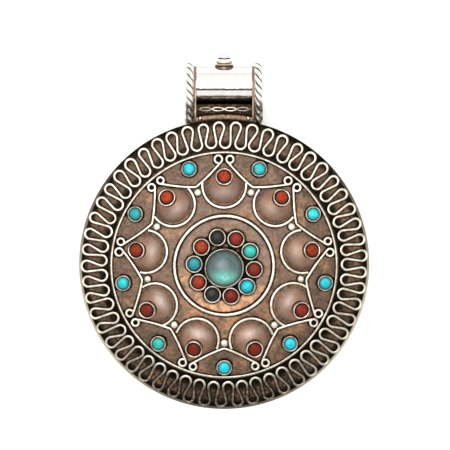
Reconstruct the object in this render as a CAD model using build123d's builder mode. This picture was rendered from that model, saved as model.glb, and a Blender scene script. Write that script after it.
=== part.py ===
"""A round ghau amulet box: a back pan, a slip-on lid with a wire-worked front, and a bail for the cord.

Sizes are millimetres. The box lies on its back, so z = 0 is the back plate, +Z is the worked front
and +Y points to the bail. Azimuths are counted clockwise from +Y, as seen from the front.
"""

import math
import os

from build123d import *

os.makedirs("parts", exist_ok=True)

# Box
case_depth = 11.5
sheet = 0.8
back_sheet = 0.9
flange_overhang = 0.4
slip_gap = 0.15
back_wall_height = 7.0
border_width = 6.8
border_rise = 1.3
field_rise = 1.5
rim_sides = 108

# Wires on the front
wire_height = 0.55
solder_gap = 0.08
meander_loops = 53
meander_wire = 0.66
meander_bend = 1.15
meander_chords = 4
wire_joint = 0.1
rim_margin = 0.35
foot_margin = 0.2
ring_wire = 0.6
ring_inset = 0.1
ring_sides = 54
star_wire = 0.6

# Star of petals and chevrons
petals = 9
petal_diameter = 7.8
petal_rise = 1.3
petal_foot = 0.5
petal_sides = 12
petal_arc_gap = 0.3
petal_arc_span = 190.0
petal_arc_chords = 9
medallion_gap = 1.4
star_margin = 3.8
curl_bend = 0.74
curl_turn = 295.0
curl_chords = 6
curl_gap = 0.05
star_gap = 0.3
granule_diameter = 1.6
granule_gap = 0.48
granule_drop = 0.5
apex_gap = 0.1

# Stones and their bezels
setting_sides = 8
bezel_wall = 0.3
stone_gap = 0.03
crown_height = 0.6
crown_taper = 50.0
coral_diameter = 3.8
coral_offset = 1.4
coral_lean = 20.0
coral_height = 2.2
coral_seat = 0.3
turquoise_diameter = 3.4
turquoise_gap = 0.3
turquoise_height = 1.2
bead_settings = 10
bead_diameter = 3.75
bead_start = -13.0
bead_gap = 0.45
bead_shift = -0.2
bead_height = 1.4
centre_sides = 16
centre_diameter = 8.6
centre_height = 1.7
centre_crown = 2.1
centre_shift = -0.5

# Bail
tube_diameter = 8.2
tube_wall = 0.8
tube_length = 12.4
tube_standoff = 7.35
cheek_sheet = 0.45
cheek_edge = 0.2
rope_diameter = 1.9
rope_gap = 0.2
rope_sides = 6
rope_chords = 8
neck_depth = 6.4
foot_sheet = 1.5
foot_gap = 0.7
eyes = 4
eye_length = 2.75
eye_width = 0.95
eye_wire = 0.25
corner_ball = 0.9

# Finial on the tube
collar_diameter = 4.1
collar_rise = 0.8
finial_ring_diameter = 4.1
finial_wire = 0.9
ball_diameter = 3.0
finial_sides = 16

# Radii that follow from the sizes above, from the middle of the front outwards
petal_step = 360 / petals
petal_half = petal_diameter / 2
granule_half = granule_diameter / 2
arc_radius = petal_half + petal_arc_gap + star_wire / 2
arc_outside = arc_radius + star_wire / 2
petal_pitch = arc_outside + granule_gap + granule_half
petal_orbit = petal_pitch / (2 * math.sin(math.radians(petal_step / 4)))
granule_orbit = petal_orbit - granule_drop
chevron_orbit = granule_orbit + granule_half + apex_gap + star_wire / 2
coral_orbit = petal_orbit + coral_offset
bead_orbit = (centre_diameter + bead_diameter) / 2 + bead_gap
medallion_radius = petal_orbit - arc_outside - medallion_gap
medallion_ring_radius = medallion_radius - ring_inset - ring_wire / 2
field_radius = petal_orbit + petal_half + star_margin
star_ring_radius = field_radius - ring_inset - ring_wire / 2
turquoise_orbit = star_ring_radius - ring_wire / 2 - turquoise_gap - turquoise_diameter / 2
case_radius = field_radius + border_width
lid_radius = case_radius - flange_overhang
lid_bore = lid_radius - sheet
back_wall_radius = lid_bore - slip_gap
tube_reach = case_radius + tube_standoff
tube_radius = tube_diameter / 2
bore_radius = tube_radius - tube_wall
bail_half = tube_length / 2

# Levels and slopes of the front
field_foot = case_depth + border_rise
medallion_top = field_foot + field_rise
field_slope = math.degrees(math.atan2(field_rise, field_radius - medallion_radius))
border_slope = math.degrees(math.atan2(border_rise, border_width))
rim_under = case_depth - sheet
tube_level = (back_sheet + rim_under) / 2
foot_depth = rim_under - back_sheet - 2 * foot_gap


def save(builder, label):
    """Label a finished sub-part and write its STEP file."""
    builder.part.label = label
    export_step(builder.part, f"parts/{label}.step")


def front_level(radius):
    """Height of the front plate: a flat medallion, a sloping field round it and a sloping border."""
    if radius < field_radius:
        return medallion_top - max(0, radius - medallion_radius) * math.tan(math.radians(field_slope))
    return field_foot - (radius - field_radius) * math.tan(math.radians(border_slope))


def polar(radius, azimuth):
    """A point of the front, by its distance from the middle and its azimuth."""
    turn = math.radians(90 - azimuth)
    return radius * math.cos(turn), radius * math.sin(turn)


def field_plane(radius, lean):
    """A plane on the sloping field, straight above the middle, with its normal leaning outward."""
    tilt = math.radians(lean)
    return Plane(
        origin=(0, radius, front_level(radius)),
        x_dir=(1, 0, 0),
        z_dir=(0, math.sin(tilt), math.cos(tilt)),
    )


def on_front(points):
    """Points of the front lifted onto its slopes, with room for solder under a straight wire."""
    return [(x, y, front_level(math.hypot(x, y)) + solder_gap) for x, y in points]


def arc_points(centre, radius, start, sweep_angle, chords):
    """Points along an arc, from a start angle and over a sweep, both in degrees from +X."""
    points = []
    for step in range(chords + 1):
        turn = math.radians(start + sweep_angle * step / chords)
        points.append((centre[0] + radius * math.cos(turn), centre[1] + radius * math.sin(turn)))
    return points


def band(outer, inner, bottom, top):
    """A plain band about the axis of the box."""
    with BuildPart() as wall:
        with BuildSketch(Plane.XY.offset(bottom)):
            Circle(outer)
            Circle(inner, mode=Mode.SUBTRACT)
        extrude(amount=top - bottom)
    return wall


def roof_wire(points, width, height, up, closed=False):
    """A wire with a roof-shaped section, laid on its flat base along a row of points."""
    with BuildPart() as wire:
        with BuildLine() as path:
            Polyline(*points, close=closed)
        start = path.wire()
        with BuildSketch(Plane(origin=start @ 0, x_dir=up, z_dir=start % 0)):
            Polygon((0, -width / 2), (0, width / 2), (height, 0), align=None)
        sweep(transition=Transition.RIGHT)
    return wire


def ring_wire_at(radius):
    """A ring wire about the axis of the box, seated on the front at one radius."""
    circle = arc_points((0, 0), radius, 0, 360, ring_sides)
    return roof_wire(on_front(circle[:-1]), ring_wire, wire_height, (0, 0, 1), closed=True)


def faceted(plane, radius, sides, bottom, steps):
    """A small faceted form that stands on a plane: steps of a height and a taper, each on the one below."""
    upward = Axis(plane.origin, plane.z_dir)
    with BuildPart() as form:
        with BuildSketch(plane.offset(bottom)):
            RegularPolygon(radius, sides)
        top = None
        for height, taper in steps:
            extrude(top, amount=height, taper=taper)
            top = form.faces().sort_by(upward)[-1]
    return form


def soldered_ball(plane, radius):
    """A granule that is soldered down on a plane, flat below and faceted above."""
    return faceted(plane, radius, setting_sides, 0, [(radius, 0), (radius * 0.8, 30)])


def bezel(plane, diameter, sides, bottom, top):
    """A thin faceted collar that holds a stone."""
    with BuildPart() as collar:
        with BuildSketch(plane.offset(bottom)):
            RegularPolygon(diameter / 2, sides)
            RegularPolygon(diameter / 2 - bezel_wall, sides, mode=Mode.SUBTRACT)
        extrude(amount=top - bottom)
    return collar


def stone(plane, diameter, bottom, top):
    """A small faceted cabochon that fills a bezel and stands above its edge."""
    radius = diameter / 2 - bezel_wall - stone_gap
    return faceted(plane, radius, setting_sides, bottom, [(top - bottom, 0), (crown_height, crown_taper)])


# Back pan: a plain plate and the band that the lid slips over
with BuildPart() as back_plate:
    Cylinder(lid_radius, back_sheet, align=(Align.CENTER, Align.CENTER, Align.MIN))
save(back_plate, "back_plate")

back_wall = band(back_wall_radius, back_wall_radius - sheet, back_sheet, back_sheet + back_wall_height)
save(back_wall, "back_wall")

# Lid: the outer band and the front plate, one sheet with its flat medallion and two slopes
lid_wall = band(lid_radius, lid_bore, back_sheet, front_level(lid_radius) - sheet)
save(lid_wall, "lid_wall")

front_steps = [(border_rise, 90 - border_slope), (field_rise, 90 - field_slope)]
front_space = faceted(Plane.XY, case_radius, rim_sides, rim_under, front_steps)
with BuildPart() as front_plate:
    with BuildSketch(Plane.XY.offset(rim_under)):
        RegularPolygon(case_radius, rim_sides)
    extrude(amount=sheet)
    add(faceted(Plane.XY, case_radius, rim_sides, case_depth, front_steps))
    add(front_space, mode=Mode.SUBTRACT)
save(front_plate, "front_plate")


def meander_points():
    """Centreline of the meander wire, round the border.

    Outer and inner bends alternate. Each leg is the common tangent of two neighbouring bends, so a bend
    turns by half a circle and twice the angle that its legs lean from the radius. The two ends of the wire
    meet in the middle of a leg.
    """
    outer_orbit = case_radius - rim_margin - meander_wire / 2 - meander_bend
    inner_orbit = field_radius + foot_margin + meander_wire / 2 + meander_bend
    half_step = 180 / meander_loops
    across, along = inner_orbit * math.sin(math.radians(half_step)), outer_orbit
    along -= inner_orbit * math.cos(math.radians(half_step))
    lean = math.degrees(math.asin(2 * meander_bend / math.hypot(across, along)) - math.atan2(across, along))
    points = []
    for loop in range(meander_loops):
        turn = 2 * loop * half_step
        spread = 90 + lean
        outer_centre = polar(outer_orbit, 90 - turn)
        points += arc_points(outer_centre, meander_bend, turn - spread, 2 * spread, meander_chords)
        turn += half_step
        spread -= half_step
        inner_centre = polar(inner_orbit, 90 - turn)
        points += arc_points(inner_centre, meander_bend, turn + 180 + spread, -2 * spread, meander_chords)
    last, first = points[-1], points[0]
    share = wire_joint / math.dist(last, first) / 2
    ends = [[a + (b - a) * part for a, b in zip(last, first)] for part in (0.5 + share, 0.5 - share)]
    return on_front([ends[0], *points, ends[1]])


# Meander wire: one wire bent in loops round the border
meander = roof_wire(meander_points(), meander_wire, wire_height, (0, 0, 1))
save(meander, "meander_wire")

# Ring wires round the foot of the sloping field and round the medallion
star_ring = ring_wire_at(star_ring_radius)
save(star_ring, "star_ring_wire")
medallion_ring = ring_wire_at(medallion_ring_radius)
save(medallion_ring, "medallion_ring_wire")

# Petal dome and the arc wire round its inner half, made once at the top of the star
petal_plane = field_plane(petal_orbit, field_slope)
petal_steps = [(petal_rise * 0.6, 50), (petal_rise * 0.4, 70)]
petal_dome = faceted(petal_plane, petal_half, petal_sides, 0, petal_steps)

arc_start = 270 - petal_arc_span / 2
petal_arc = roof_wire(
    on_front(arc_points((0, petal_orbit), arc_radius, arc_start, petal_arc_span, petal_arc_chords)),
    star_wire,
    wire_height,
    petal_plane.z_dir,
)


def chevron_points():
    """Centreline of a chevron wire, from one curl down to the apex and up to the other curl.

    A leg runs from the apex along the tangent of its curl, which lies beside the axis of the next petal.
    """
    orbit = star_ring_radius - ring_wire / 2 - curl_gap - star_wire / 2 - curl_bend
    aside = curl_bend + star_wire / 2 + star_gap / 2
    azimuth = petal_step / 2 - math.degrees(math.asin(aside / orbit))
    x, y = polar(orbit, azimuth)
    reach = math.hypot(x, y - chevron_orbit)
    heading = math.degrees(math.atan2(y - chevron_orbit, x) - math.asin(curl_bend / reach))
    right = arc_points((x, y), curl_bend, heading - 90, curl_turn, curl_chords)
    left = [(-x, y) for x, y in reversed(right)]
    return left + [(0, chevron_orbit)] + right


# Chevron wire and the granule below its apex, made once at the top of the front
chevron = roof_wire(on_front(chevron_points()), star_wire, wire_height, petal_plane.z_dir)
granule_plane = field_plane(granule_orbit, field_slope)
granule = soldered_ball(granule_plane, granule_half)

# Settings on the front, made once at the top: coral on the flank of a petal, turquoise in a chevron
coral_plane = field_plane(coral_orbit, coral_lean)
with BuildPart() as petal_trim:
    add(petal_dome)
    with BuildSketch(petal_plane.offset(-petal_foot)):
        RegularPolygon(petal_half, petal_sides)
    extrude(amount=petal_foot)
with BuildPart() as coral_bezel:
    add(bezel(coral_plane, coral_diameter, setting_sides, coral_seat, coral_height))
    add(petal_trim, mode=Mode.SUBTRACT)
with BuildPart() as coral_stone:
    add(stone(coral_plane, coral_diameter, coral_seat, coral_height))
    add(petal_trim, mode=Mode.SUBTRACT)
turquoise_plane = field_plane(turquoise_orbit, field_slope)
turquoise_bezel = bezel(turquoise_plane, turquoise_diameter, setting_sides, 0, turquoise_height)
turquoise_stone = stone(turquoise_plane, turquoise_diameter, 0, turquoise_height)

# Petals, arcs and chevrons round the star, each a piece of its own
for number in range(petals):
    azimuth = number * petal_step
    for label, pattern, turn in (
        ("petal_dome", petal_dome, azimuth),
        ("petal_arc", petal_arc, azimuth),
        ("chevron", chevron, azimuth + petal_step / 2),
    ):
        with BuildPart() as turned:
            add(pattern, rotation=(0, 0, -turn))
        save(turned, f"{label}_{number + 1}")

# Settings and granules round the star, as groups of separate solids
for label, pattern, start in (
    ("granules", granule, petal_step / 2),
    ("coral_bezels", coral_bezel, 0),
    ("coral_stones", coral_stone, 0),
    ("turquoise_bezels", turquoise_bezel, petal_step / 2),
    ("turquoise_stones", turquoise_stone, petal_step / 2),
):
    with BuildPart() as group:
        with PolarLocations(0, petals, start_angle=-start):
            add(pattern)
    save(group, label)

# Ring of small settings in the medallion, with the stones grouped by kind
bead_kinds = ("dark", "coral", "turquoise")
bead_pattern = (0, 1, 2, 1, 2, 1, 0, 1, 2, 1)
bead_planes = []
for number in range(bead_settings):
    x, y = polar(bead_orbit, bead_start + number * 360 / bead_settings)
    bead_planes.append(Plane(origin=(x, y + bead_shift, medallion_top)))
with BuildPart() as bead_bezels:
    for plane in bead_planes:
        add(bezel(plane, bead_diameter, setting_sides, 0, bead_height))
save(bead_bezels, "medallion_bezels")
for kind, name in enumerate(bead_kinds):
    with BuildPart() as bead_stones:
        for plane, filled_with in zip(bead_planes, bead_pattern):
            if filled_with == kind:
                add(stone(plane, bead_diameter, 0, bead_height))
    save(bead_stones, f"medallion_{name}_stones")

# Large setting in the middle of the medallion
centre_plane = Plane(origin=(0, centre_shift, medallion_top))
centre_bezel = bezel(centre_plane, centre_diameter, centre_sides, 0, centre_height)
save(centre_bezel, "centre_bezel")
centre_radius = centre_diameter / 2 - bezel_wall - stone_gap
centre_steps = [(centre_height, 0), (centre_crown * 0.6, 40), (centre_crown * 0.4, 65)]
centre_stone = faceted(centre_plane, centre_radius, centre_sides, 0, centre_steps)
save(centre_stone, "centre_stone")

# Space that the lid takes up, which trims the foot of the bail
with BuildPart() as lid_space:
    Cylinder(lid_radius, rim_under, align=(Align.CENTER, Align.CENTER, Align.MIN))
    with Locations((0, 0, rim_under)):
        Cylinder(case_radius, sheet, align=(Align.CENTER, Align.CENTER, Align.MIN))

# Cord tube, across the top of the bail
tube_axis = Plane(origin=(0, tube_reach, tube_level), x_dir=(0, 1, 0), z_dir=(1, 0, 0))
with BuildPart() as bail_tube:
    with BuildSketch(tube_axis.offset(-bail_half)):
        Circle(tube_radius)
        Circle(bore_radius, mode=Mode.SUBTRACT)
    extrude(amount=tube_length)
save(bail_tube, "bail_tube")
with BuildPart() as tube_space:
    with BuildSketch(tube_axis.offset(-bail_half)):
        Circle(tube_radius)
    extrude(amount=tube_length)

# Foot: a curved strip on the lid wall, below the tube
with BuildPart() as bail_foot:
    with BuildSketch(Plane.XY.offset(tube_level - foot_depth / 2)):
        Circle(lid_radius + foot_sheet)
        Circle(lid_radius, mode=Mode.SUBTRACT)
        with Locations((0, case_radius)):
            Rectangle(tube_length, 2 * foot_sheet + 2 * flange_overhang + 2, mode=Mode.INTERSECT)
    extrude(amount=foot_depth)
save(bail_foot, "bail_foot")

# Neck: a block between the foot and the tube, kept below the bore
with BuildPart() as bail_neck:
    neck_top = tube_reach - bore_radius - rope_gap
    with BuildSketch(Plane.YZ.offset(-bail_half)):
        with Locations(((lid_radius + neck_top) / 2 - 1, tube_level)):
            Rectangle(neck_top - lid_radius + 2, neck_depth)
    extrude(amount=tube_length)
    add(tube_space, mode=Mode.SUBTRACT)
    add(bail_foot, mode=Mode.SUBTRACT)
    add(lid_space, mode=Mode.SUBTRACT)
save(bail_neck, "bail_neck")

# Row of lens-shaped wire loops on the front of the neck
with BuildPart() as neck_eyes:
    eye_row = (lid_radius + foot_sheet + tube_reach - tube_radius) / 2
    with BuildSketch(Plane.XY.offset(tube_level + neck_depth / 2)):
        with GridLocations(eye_length, 0, eyes, 1):
            for length, width, mode in (
                (eye_length, eye_width, Mode.ADD),
                (eye_length - 4 * eye_wire, eye_width - 2 * eye_wire, Mode.SUBTRACT),
            ):
                with Locations((0, eye_row)):
                    Polygon(
                        (length / 2, 0),
                        (length / 6, width / 2),
                        (-length / 6, width / 2),
                        (-length / 2, 0),
                        (-length / 6, -width / 2),
                        (length / 6, -width / 2),
                        mode=mode,
                    )
    extrude(amount=eye_wire)
save(neck_eyes, "neck_eyes")

# Granules at the front corners of the foot
with BuildPart() as foot_balls:
    ball_half = corner_ball / 2
    ball_x = bail_half - corner_ball
    ball_y = math.sqrt((case_radius + slip_gap + ball_half) ** 2 - ball_x**2)
    for side in (1, -1):
        ball_plane = Plane(origin=(side * ball_x, ball_y, tube_level + foot_depth / 2))
        add(soldered_ball(ball_plane, ball_half))
save(foot_balls, "foot_balls")

# Cheek plates at both ends of the tube, and the twisted wire that edges each of them
rope_orbit = bore_radius + rope_gap + rope_diameter / 2
rope_aside = bail_half + cheek_sheet + rope_diameter / 2
rope_foot = lid_radius - rope_diameter - sheet
for label, side in (("right", 1), ("left", -1)):
    with BuildPart() as cheek:
        with BuildSketch(Plane.YZ.offset(side * bail_half)):
            with Locations((tube_reach, tube_level)):
                Circle(tube_radius + cheek_edge)
            with Locations(((rope_foot + tube_reach) / 2, tube_level)):
                Rectangle(tube_reach - rope_foot, tube_diameter + 2 * cheek_edge)
            with Locations((tube_reach, tube_level)):
                Circle(bore_radius, mode=Mode.SUBTRACT)
        extrude(amount=side * cheek_sheet)
        add(lid_space, mode=Mode.SUBTRACT)
    save(cheek, f"bail_cheek_{label}")

    arch = arc_points((tube_reach, tube_level), rope_orbit, 90, -180, rope_chords)
    arch = [(rope_foot, arch[0][1])] + arch + [(rope_foot, arch[-1][1])]
    with BuildPart() as rope:
        with BuildLine() as rope_path:
            Polyline(*[(side * rope_aside, y, z) for y, z in arch])
        start = rope_path.wire()
        with BuildSketch(Plane(origin=start @ 0, x_dir=(1, 0, 0), z_dir=start % 0)):
            RegularPolygon(rope_diameter / 2, rope_sides, major_radius=False, rotation=180 / rope_sides)
        sweep(transition=Transition.RIGHT)
        add(lid_space, mode=Mode.SUBTRACT)
    save(rope, f"bail_rope_{label}")

# Finial on the tube: a saddle collar, a wire ring and a ball, all about one upright axis
collar_top = tube_reach + tube_radius + collar_rise
with BuildPart() as finial_collar:
    with BuildSketch(Plane(origin=(0, tube_reach, tube_level), x_dir=(1, 0, 0), z_dir=(0, 1, 0))):
        Circle(collar_diameter / 2)
    extrude(amount=collar_top - tube_reach)
    add(tube_space, mode=Mode.SUBTRACT)
save(finial_collar, "finial_collar")

finial_orbit = finial_ring_diameter / 2 - finial_wire / 2
ring_points = arc_points((0, tube_level), finial_orbit, 0, 360, finial_sides)[:-1]
finial_ring = roof_wire(
    [(x, collar_top, z) for x, z in ring_points],
    finial_wire,
    finial_wire,
    (0, 1, 0),
    closed=True,
)
save(finial_ring, "finial_ring")

ball_radius = ball_diameter / 2
ball_steps = [(ball_radius * 0.5, 15), (ball_radius * 0.4, 47)]
ball_half_height = sum(height for height, _ in ball_steps)
ball_half_form = faceted(Plane.XY, ball_radius, finial_sides, 0, ball_steps)
with BuildPart() as finial_ball:
    for turn in (90, -90):
        with Locations(Location((0, collar_top + ball_half_height, tube_level), (turn, 0, 0))):
            add(ball_half_form)
save(finial_ball, "finial_ball")
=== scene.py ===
# %% [markdown]
# # A ghau amulet box of silver, copper, coral and turquoise
# A ghau is a small box that is worn on a cord. This one is round: a plain back, a lid with a wire-worked
# front, and a bail with a tube for the cord. The box comes in as plain solids, each piece in its place.
# This lesson gives every piece the round wire, the soft edges and the old metal of the real one.

# %% Load the box
import math
import random

import bmesh
import bpy
import numpy as np
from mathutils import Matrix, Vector, kdtree


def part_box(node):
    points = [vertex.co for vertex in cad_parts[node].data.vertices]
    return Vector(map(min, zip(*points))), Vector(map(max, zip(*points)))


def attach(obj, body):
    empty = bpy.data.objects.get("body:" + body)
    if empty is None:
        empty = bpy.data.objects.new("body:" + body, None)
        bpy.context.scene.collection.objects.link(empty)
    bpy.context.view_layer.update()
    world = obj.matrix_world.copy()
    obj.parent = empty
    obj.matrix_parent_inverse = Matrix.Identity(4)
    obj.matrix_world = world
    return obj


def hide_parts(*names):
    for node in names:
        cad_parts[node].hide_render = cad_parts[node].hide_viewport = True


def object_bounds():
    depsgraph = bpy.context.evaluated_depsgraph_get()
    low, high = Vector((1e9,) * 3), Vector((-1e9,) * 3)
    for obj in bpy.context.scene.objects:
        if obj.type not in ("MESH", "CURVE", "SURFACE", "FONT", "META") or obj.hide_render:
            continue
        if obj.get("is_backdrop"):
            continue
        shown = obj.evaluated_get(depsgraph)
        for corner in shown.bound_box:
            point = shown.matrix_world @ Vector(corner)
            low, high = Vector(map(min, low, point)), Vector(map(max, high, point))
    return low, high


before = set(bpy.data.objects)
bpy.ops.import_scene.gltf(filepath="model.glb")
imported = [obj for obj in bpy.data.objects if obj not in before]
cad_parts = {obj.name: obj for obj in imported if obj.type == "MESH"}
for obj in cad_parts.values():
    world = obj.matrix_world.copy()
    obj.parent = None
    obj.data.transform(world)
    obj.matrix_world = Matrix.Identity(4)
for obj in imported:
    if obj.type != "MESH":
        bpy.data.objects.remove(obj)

scene = bpy.context.scene
cad_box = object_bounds()
print("box of the solids, in metres:", [tuple(round(x, 4) for x in corner) for corner in cad_box])

# %% [markdown]
# ## Measure before making
# The new pieces take their places from the solids, so nothing has to be fitted by eye. A radius is read
# from a ring's own box, and a level from the lowest or highest point of what lies there. Blender works in
# metres, so `MM` turns the small sizes of jewellery into them.

# %% Read the sizes of the front
MM = 0.001
PETALS = 9
STEP = 360 / PETALS
SHEET = 0.8 * MM
WIRE = 0.66 * MM
LINE = 0.54 * MM
LINE_HEIGHT = 0.56 * MM
SOLDER = 0.08 * MM
FIELD_MARGIN = 0.1 * MM

plate_low, plate_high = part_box("front_plate")
rim_radius, medallion_top = plate_high.x, plate_high.z
rim_top = plate_low.z + SHEET
star_low, star_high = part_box("star_ring_wire")
star_radius = star_high.x - WIRE / 2
field_radius = star_high.x + FIELD_MARGIN
field_foot = star_low.z - 2 * SOLDER
medallion_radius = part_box("medallion_ring_wire")[1].x - WIRE / 2
petal_low, petal_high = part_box("petal_dome_1")
petal_orbit = (petal_low.y + petal_high.y) / 2
petal_half = petal_high.x
print(f"rim {rim_radius / MM:.1f} mm, star {star_radius / MM:.1f} mm, petals at {petal_orbit / MM:.1f} mm")

# %% [markdown]
# The front is a sheet with a flat middle, a sloping field and a sloping border. `np.interp` gives the
# height at any radius, and the mean over a short window rounds the corners as a hammer does.

# %% Height and lean of the front
PROFILE_RADII = (0, medallion_radius, field_radius, rim_radius)
PROFILE_LEVELS = (medallion_top, medallion_top, field_foot, rim_top)
SOFTEN = np.linspace(-0.7, 0.7, 9) * MM
SLOPE_REACH = 0.2 * MM


def front_height(radius):
    """Height of the front at a radius, or at an array of them."""
    radius = np.asarray(radius, float)
    return np.interp(radius[..., None] + SOFTEN, PROFILE_RADII, PROFILE_LEVELS).mean(-1)


def front_normal(point):
    """The direction that stands square on the front at a point."""
    radius = math.hypot(point[0], point[1])
    fall = float(front_height(radius - SLOPE_REACH) - front_height(radius + SLOPE_REACH))
    outward = Vector((point[0], point[1], 0)) / max(radius, SLOPE_REACH)
    return (Vector((0, 0, 1)) + outward * (fall / (2 * SLOPE_REACH))).normalized()


def at(radius, azimuth):
    """A point of the front, by its radius and its azimuth in degrees clockwise from the bail."""
    turn = math.radians(azimuth)
    return np.array((radius * math.sin(turn), radius * math.cos(turn)))


def radius_of(points):
    """Distance of each point from the middle axis of the box."""
    return np.hypot(points[:, 0], points[:, 1])


def azimuth_of(points):
    """Azimuth of each point, in degrees clockwise from the bail."""
    return np.degrees(np.arctan2(points[:, 0], points[:, 1])) % 360


print(f"the front rises {(medallion_top - rim_top) / MM:.1f} mm from its rim to the medallion")

# %% [markdown]
# ## Camera
# The photograph looks almost straight down on the box, from a little beyond its bail. A view without any
# perspective would come close, but a long lens far away keeps the round face round and still shows the
# bail a little foreshortened. The camera aims at the point that lies in the middle of the picture.

# %% Place the camera
PICTURE = 450
PIXEL = 0.22 * MM
FACE_PIXEL = (224.2, 265.1)
CAMERA_TILT = math.radians(3.5)
CAMERA_DISTANCE = 1.0


def new_object(name, data):
    """Make an object from its data and put it in the scene."""
    made = bpy.data.objects.new(name, data)
    scene.collection.objects.link(made)
    return made


camera = new_object("camera", bpy.data.cameras.new("camera"))
scene.camera = camera
camera.data.lens = camera.data.sensor_width * CAMERA_DISTANCE / (PICTURE * PIXEL)
aim = Vector(((PICTURE / 2 - FACE_PIXEL[0]) * PIXEL, (FACE_PIXEL[1] - PICTURE / 2) * PIXEL, field_foot))
camera.location = aim + Vector((0, math.sin(CAMERA_TILT), math.cos(CAMERA_TILT))) * CAMERA_DISTANCE
camera.rotation_euler = (-CAMERA_TILT, 0, 0)
print(f"lens {camera.data.lens:.0f} mm, aimed {aim.y / MM:.1f} mm above the middle of the face")

# %% [markdown]
# ## Materials from nodes
# A material is a small graph of nodes. It can be drawn by hand in the shader editor, but a script can be
# read, changed and run again. `add` makes one node and fills its sockets: a value is set on the socket, and
# the output of another node is linked to it. That keeps each finish to a few readable lines.


# %% Helper that adds a node
def add(tree, kind, *values, **settings):
    """Add a node, set its options and fill its input sockets in order; None leaves a socket alone."""
    node = tree.nodes.new("ShaderNode" + kind)
    for option, value in settings.items():
        setattr(node, option, value)
    for socket, value in zip(node.inputs, values):
        if isinstance(value, bpy.types.NodeSocket):
            tree.links.new(value, socket)
        elif value is not None:
            socket.default_value = value
    return node


print("one helper for all kinds of node")

# %% [markdown]
# Old metal and old stone are never of one colour. Noise gives them patches, and the mesh can carry values of
# its own. These helpers turn both into shares from 0 to 1, mix colours by a share and press dents into the
# surface. Painted images could do that too, but noise needs no file and has no seams.


# %% Helpers for patches and colours
def millimetres(tree):
    """Coordinates on the piece, in millimetres, so that a noise scale of 1 means about 1 mm."""
    place = add(tree, "TexCoord").outputs["Object"]
    return add(tree, "VectorMath", place, None, None, 1 / MM, operation="SCALE").outputs["Vector"]


def noise(tree, scale, detail=3.0, rough=0.55):
    """Cloudy noise with about `scale` patches in a millimetre."""
    return add(tree, "TexNoise", millimetres(tree), None, scale, detail, rough).outputs["Fac"]


def ramp(tree, value, *stops):
    """Turn a value into colours; each stop is a position and a colour of three numbers."""
    node = add(tree, "ValToRGB", value)
    for element, (position, colour) in zip(node.color_ramp.elements, stops):
        element.position = position
        element.color = (*colour, 1)
    return node.outputs["Color"]


def blend(tree, share, first, second):
    """Mix two colours by a share from 0 to 1."""
    node = tree.nodes.new("ShaderNodeMix")
    node.data_type = "RGBA"
    for name, value in (("Factor_Float", share), ("A_Color", first), ("B_Color", second)):
        socket = next(s for s in node.inputs if s.identifier == name)
        if isinstance(value, bpy.types.NodeSocket):
            tree.links.new(value, socket)
        else:
            socket.default_value = (*value, 1)
    return next(s for s in node.outputs if s.identifier == "Result_Color")


def stretch(tree, value, low, high, new_low=0.0, new_high=1.0):
    """Map a value from one range to another and stop at the ends."""
    return add(tree, "MapRange", value, low, high, new_low, new_high).outputs["Result"]


def maths(tree, operation, first, second):
    """One sum on two values."""
    return add(tree, "Math", first, second, operation=operation).outputs["Value"]


def attribute(tree, name):
    """Read a value that the mesh carries on its vertices."""
    return add(tree, "Attribute", attribute_name=name).outputs["Fac"]


def dents(tree, height, distance, strength=0.5):
    """Bumps for a shader's normal, with the depth of the dents in millimetres."""
    return add(tree, "Bump", strength, distance * MM, None, height).outputs["Normal"]


print("helpers for patches and colours ready")

# %% [markdown]
# Every finish is one Principled shader. What changes over the surface is linked to it. What stays the same
# is set on the shader's own sockets, because a constant needs no node.


# %% Helper that finishes a material
def finish_material(name, build, metallic, **constants):
    """Make a material: `build` returns links for the shader's sockets, and constants are set on them."""
    material = bpy.data.materials.new(name)
    material.use_nodes = True
    tree = material.node_tree
    shader = tree.nodes["Principled BSDF"]
    shader.inputs["Metallic"].default_value = metallic
    for socket, value in constants.items():
        shader.inputs[socket.replace("_", " ")].default_value = value
    for socket, value in build(tree).items():
        tree.links.new(value, shader.inputs[socket])
    return material


print("ready to mix metals and stones")

# %% [markdown]
# ## Floor, backdrop and light
# The box lies on white. A very bright floor would read as white too, but it would light the box from below.
# So the floor is matt and takes a shadow, and it gives off a little white of its own that only the camera
# and reflections see. From below it is clear, so that the back of the box can be looked at too.

# %% Lay the floor
FLOOR_SIZE = 6.0
FLOOR_WHITE = (0.86, 0.87, 0.88)
FLOOR_PALE = (0.87, 0.88, 0.89)
FLOOR_GRAIN = 0.4
FLOOR_GLOW = 0.36
FLOOR_DROP = 0.03 * MM

floor_mesh = bpy.data.meshes.new("floor")
half = FLOOR_SIZE / 2
corners = [(x * half, y * half, -FLOOR_DROP) for x, y in ((-1, -1), (1, -1), (1, 1), (-1, 1))]
floor_mesh.from_pydata(corners, [], [(0, 1, 2, 3)])
floor = new_object("floor", floor_mesh)
floor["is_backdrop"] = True

paper = bpy.data.materials.new("white_paper")
paper.use_nodes = True
tree = paper.node_tree
tree.nodes.remove(tree.nodes["Principled BSDF"])
grain = ramp(tree, noise(tree, FLOOR_GRAIN), (0.3, FLOOR_WHITE), (0.7, FLOOR_PALE))
matt = add(tree, "BsdfDiffuse", grain).outputs[0]
rays = add(tree, "LightPath").outputs
seen = maths(tree, "MAXIMUM", rays["Is Camera Ray"], rays["Is Glossy Ray"])
seen = maths(tree, "MAXIMUM", seen, rays["Is Transmission Ray"])
glow = add(tree, "Emission", (1, 1, 1, 1), maths(tree, "MULTIPLY", seen, FLOOR_GLOW)).outputs[0]
both = add(tree, "AddShader", matt, glow).outputs[0]
from_below = add(tree, "NewGeometry").outputs["Backfacing"]
clear = add(tree, "BsdfTransparent").outputs[0]
sheet = add(tree, "MixShader", from_below, both, clear).outputs[0]
tree.links.new(sheet, tree.nodes["Material Output"].inputs["Surface"])
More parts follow.
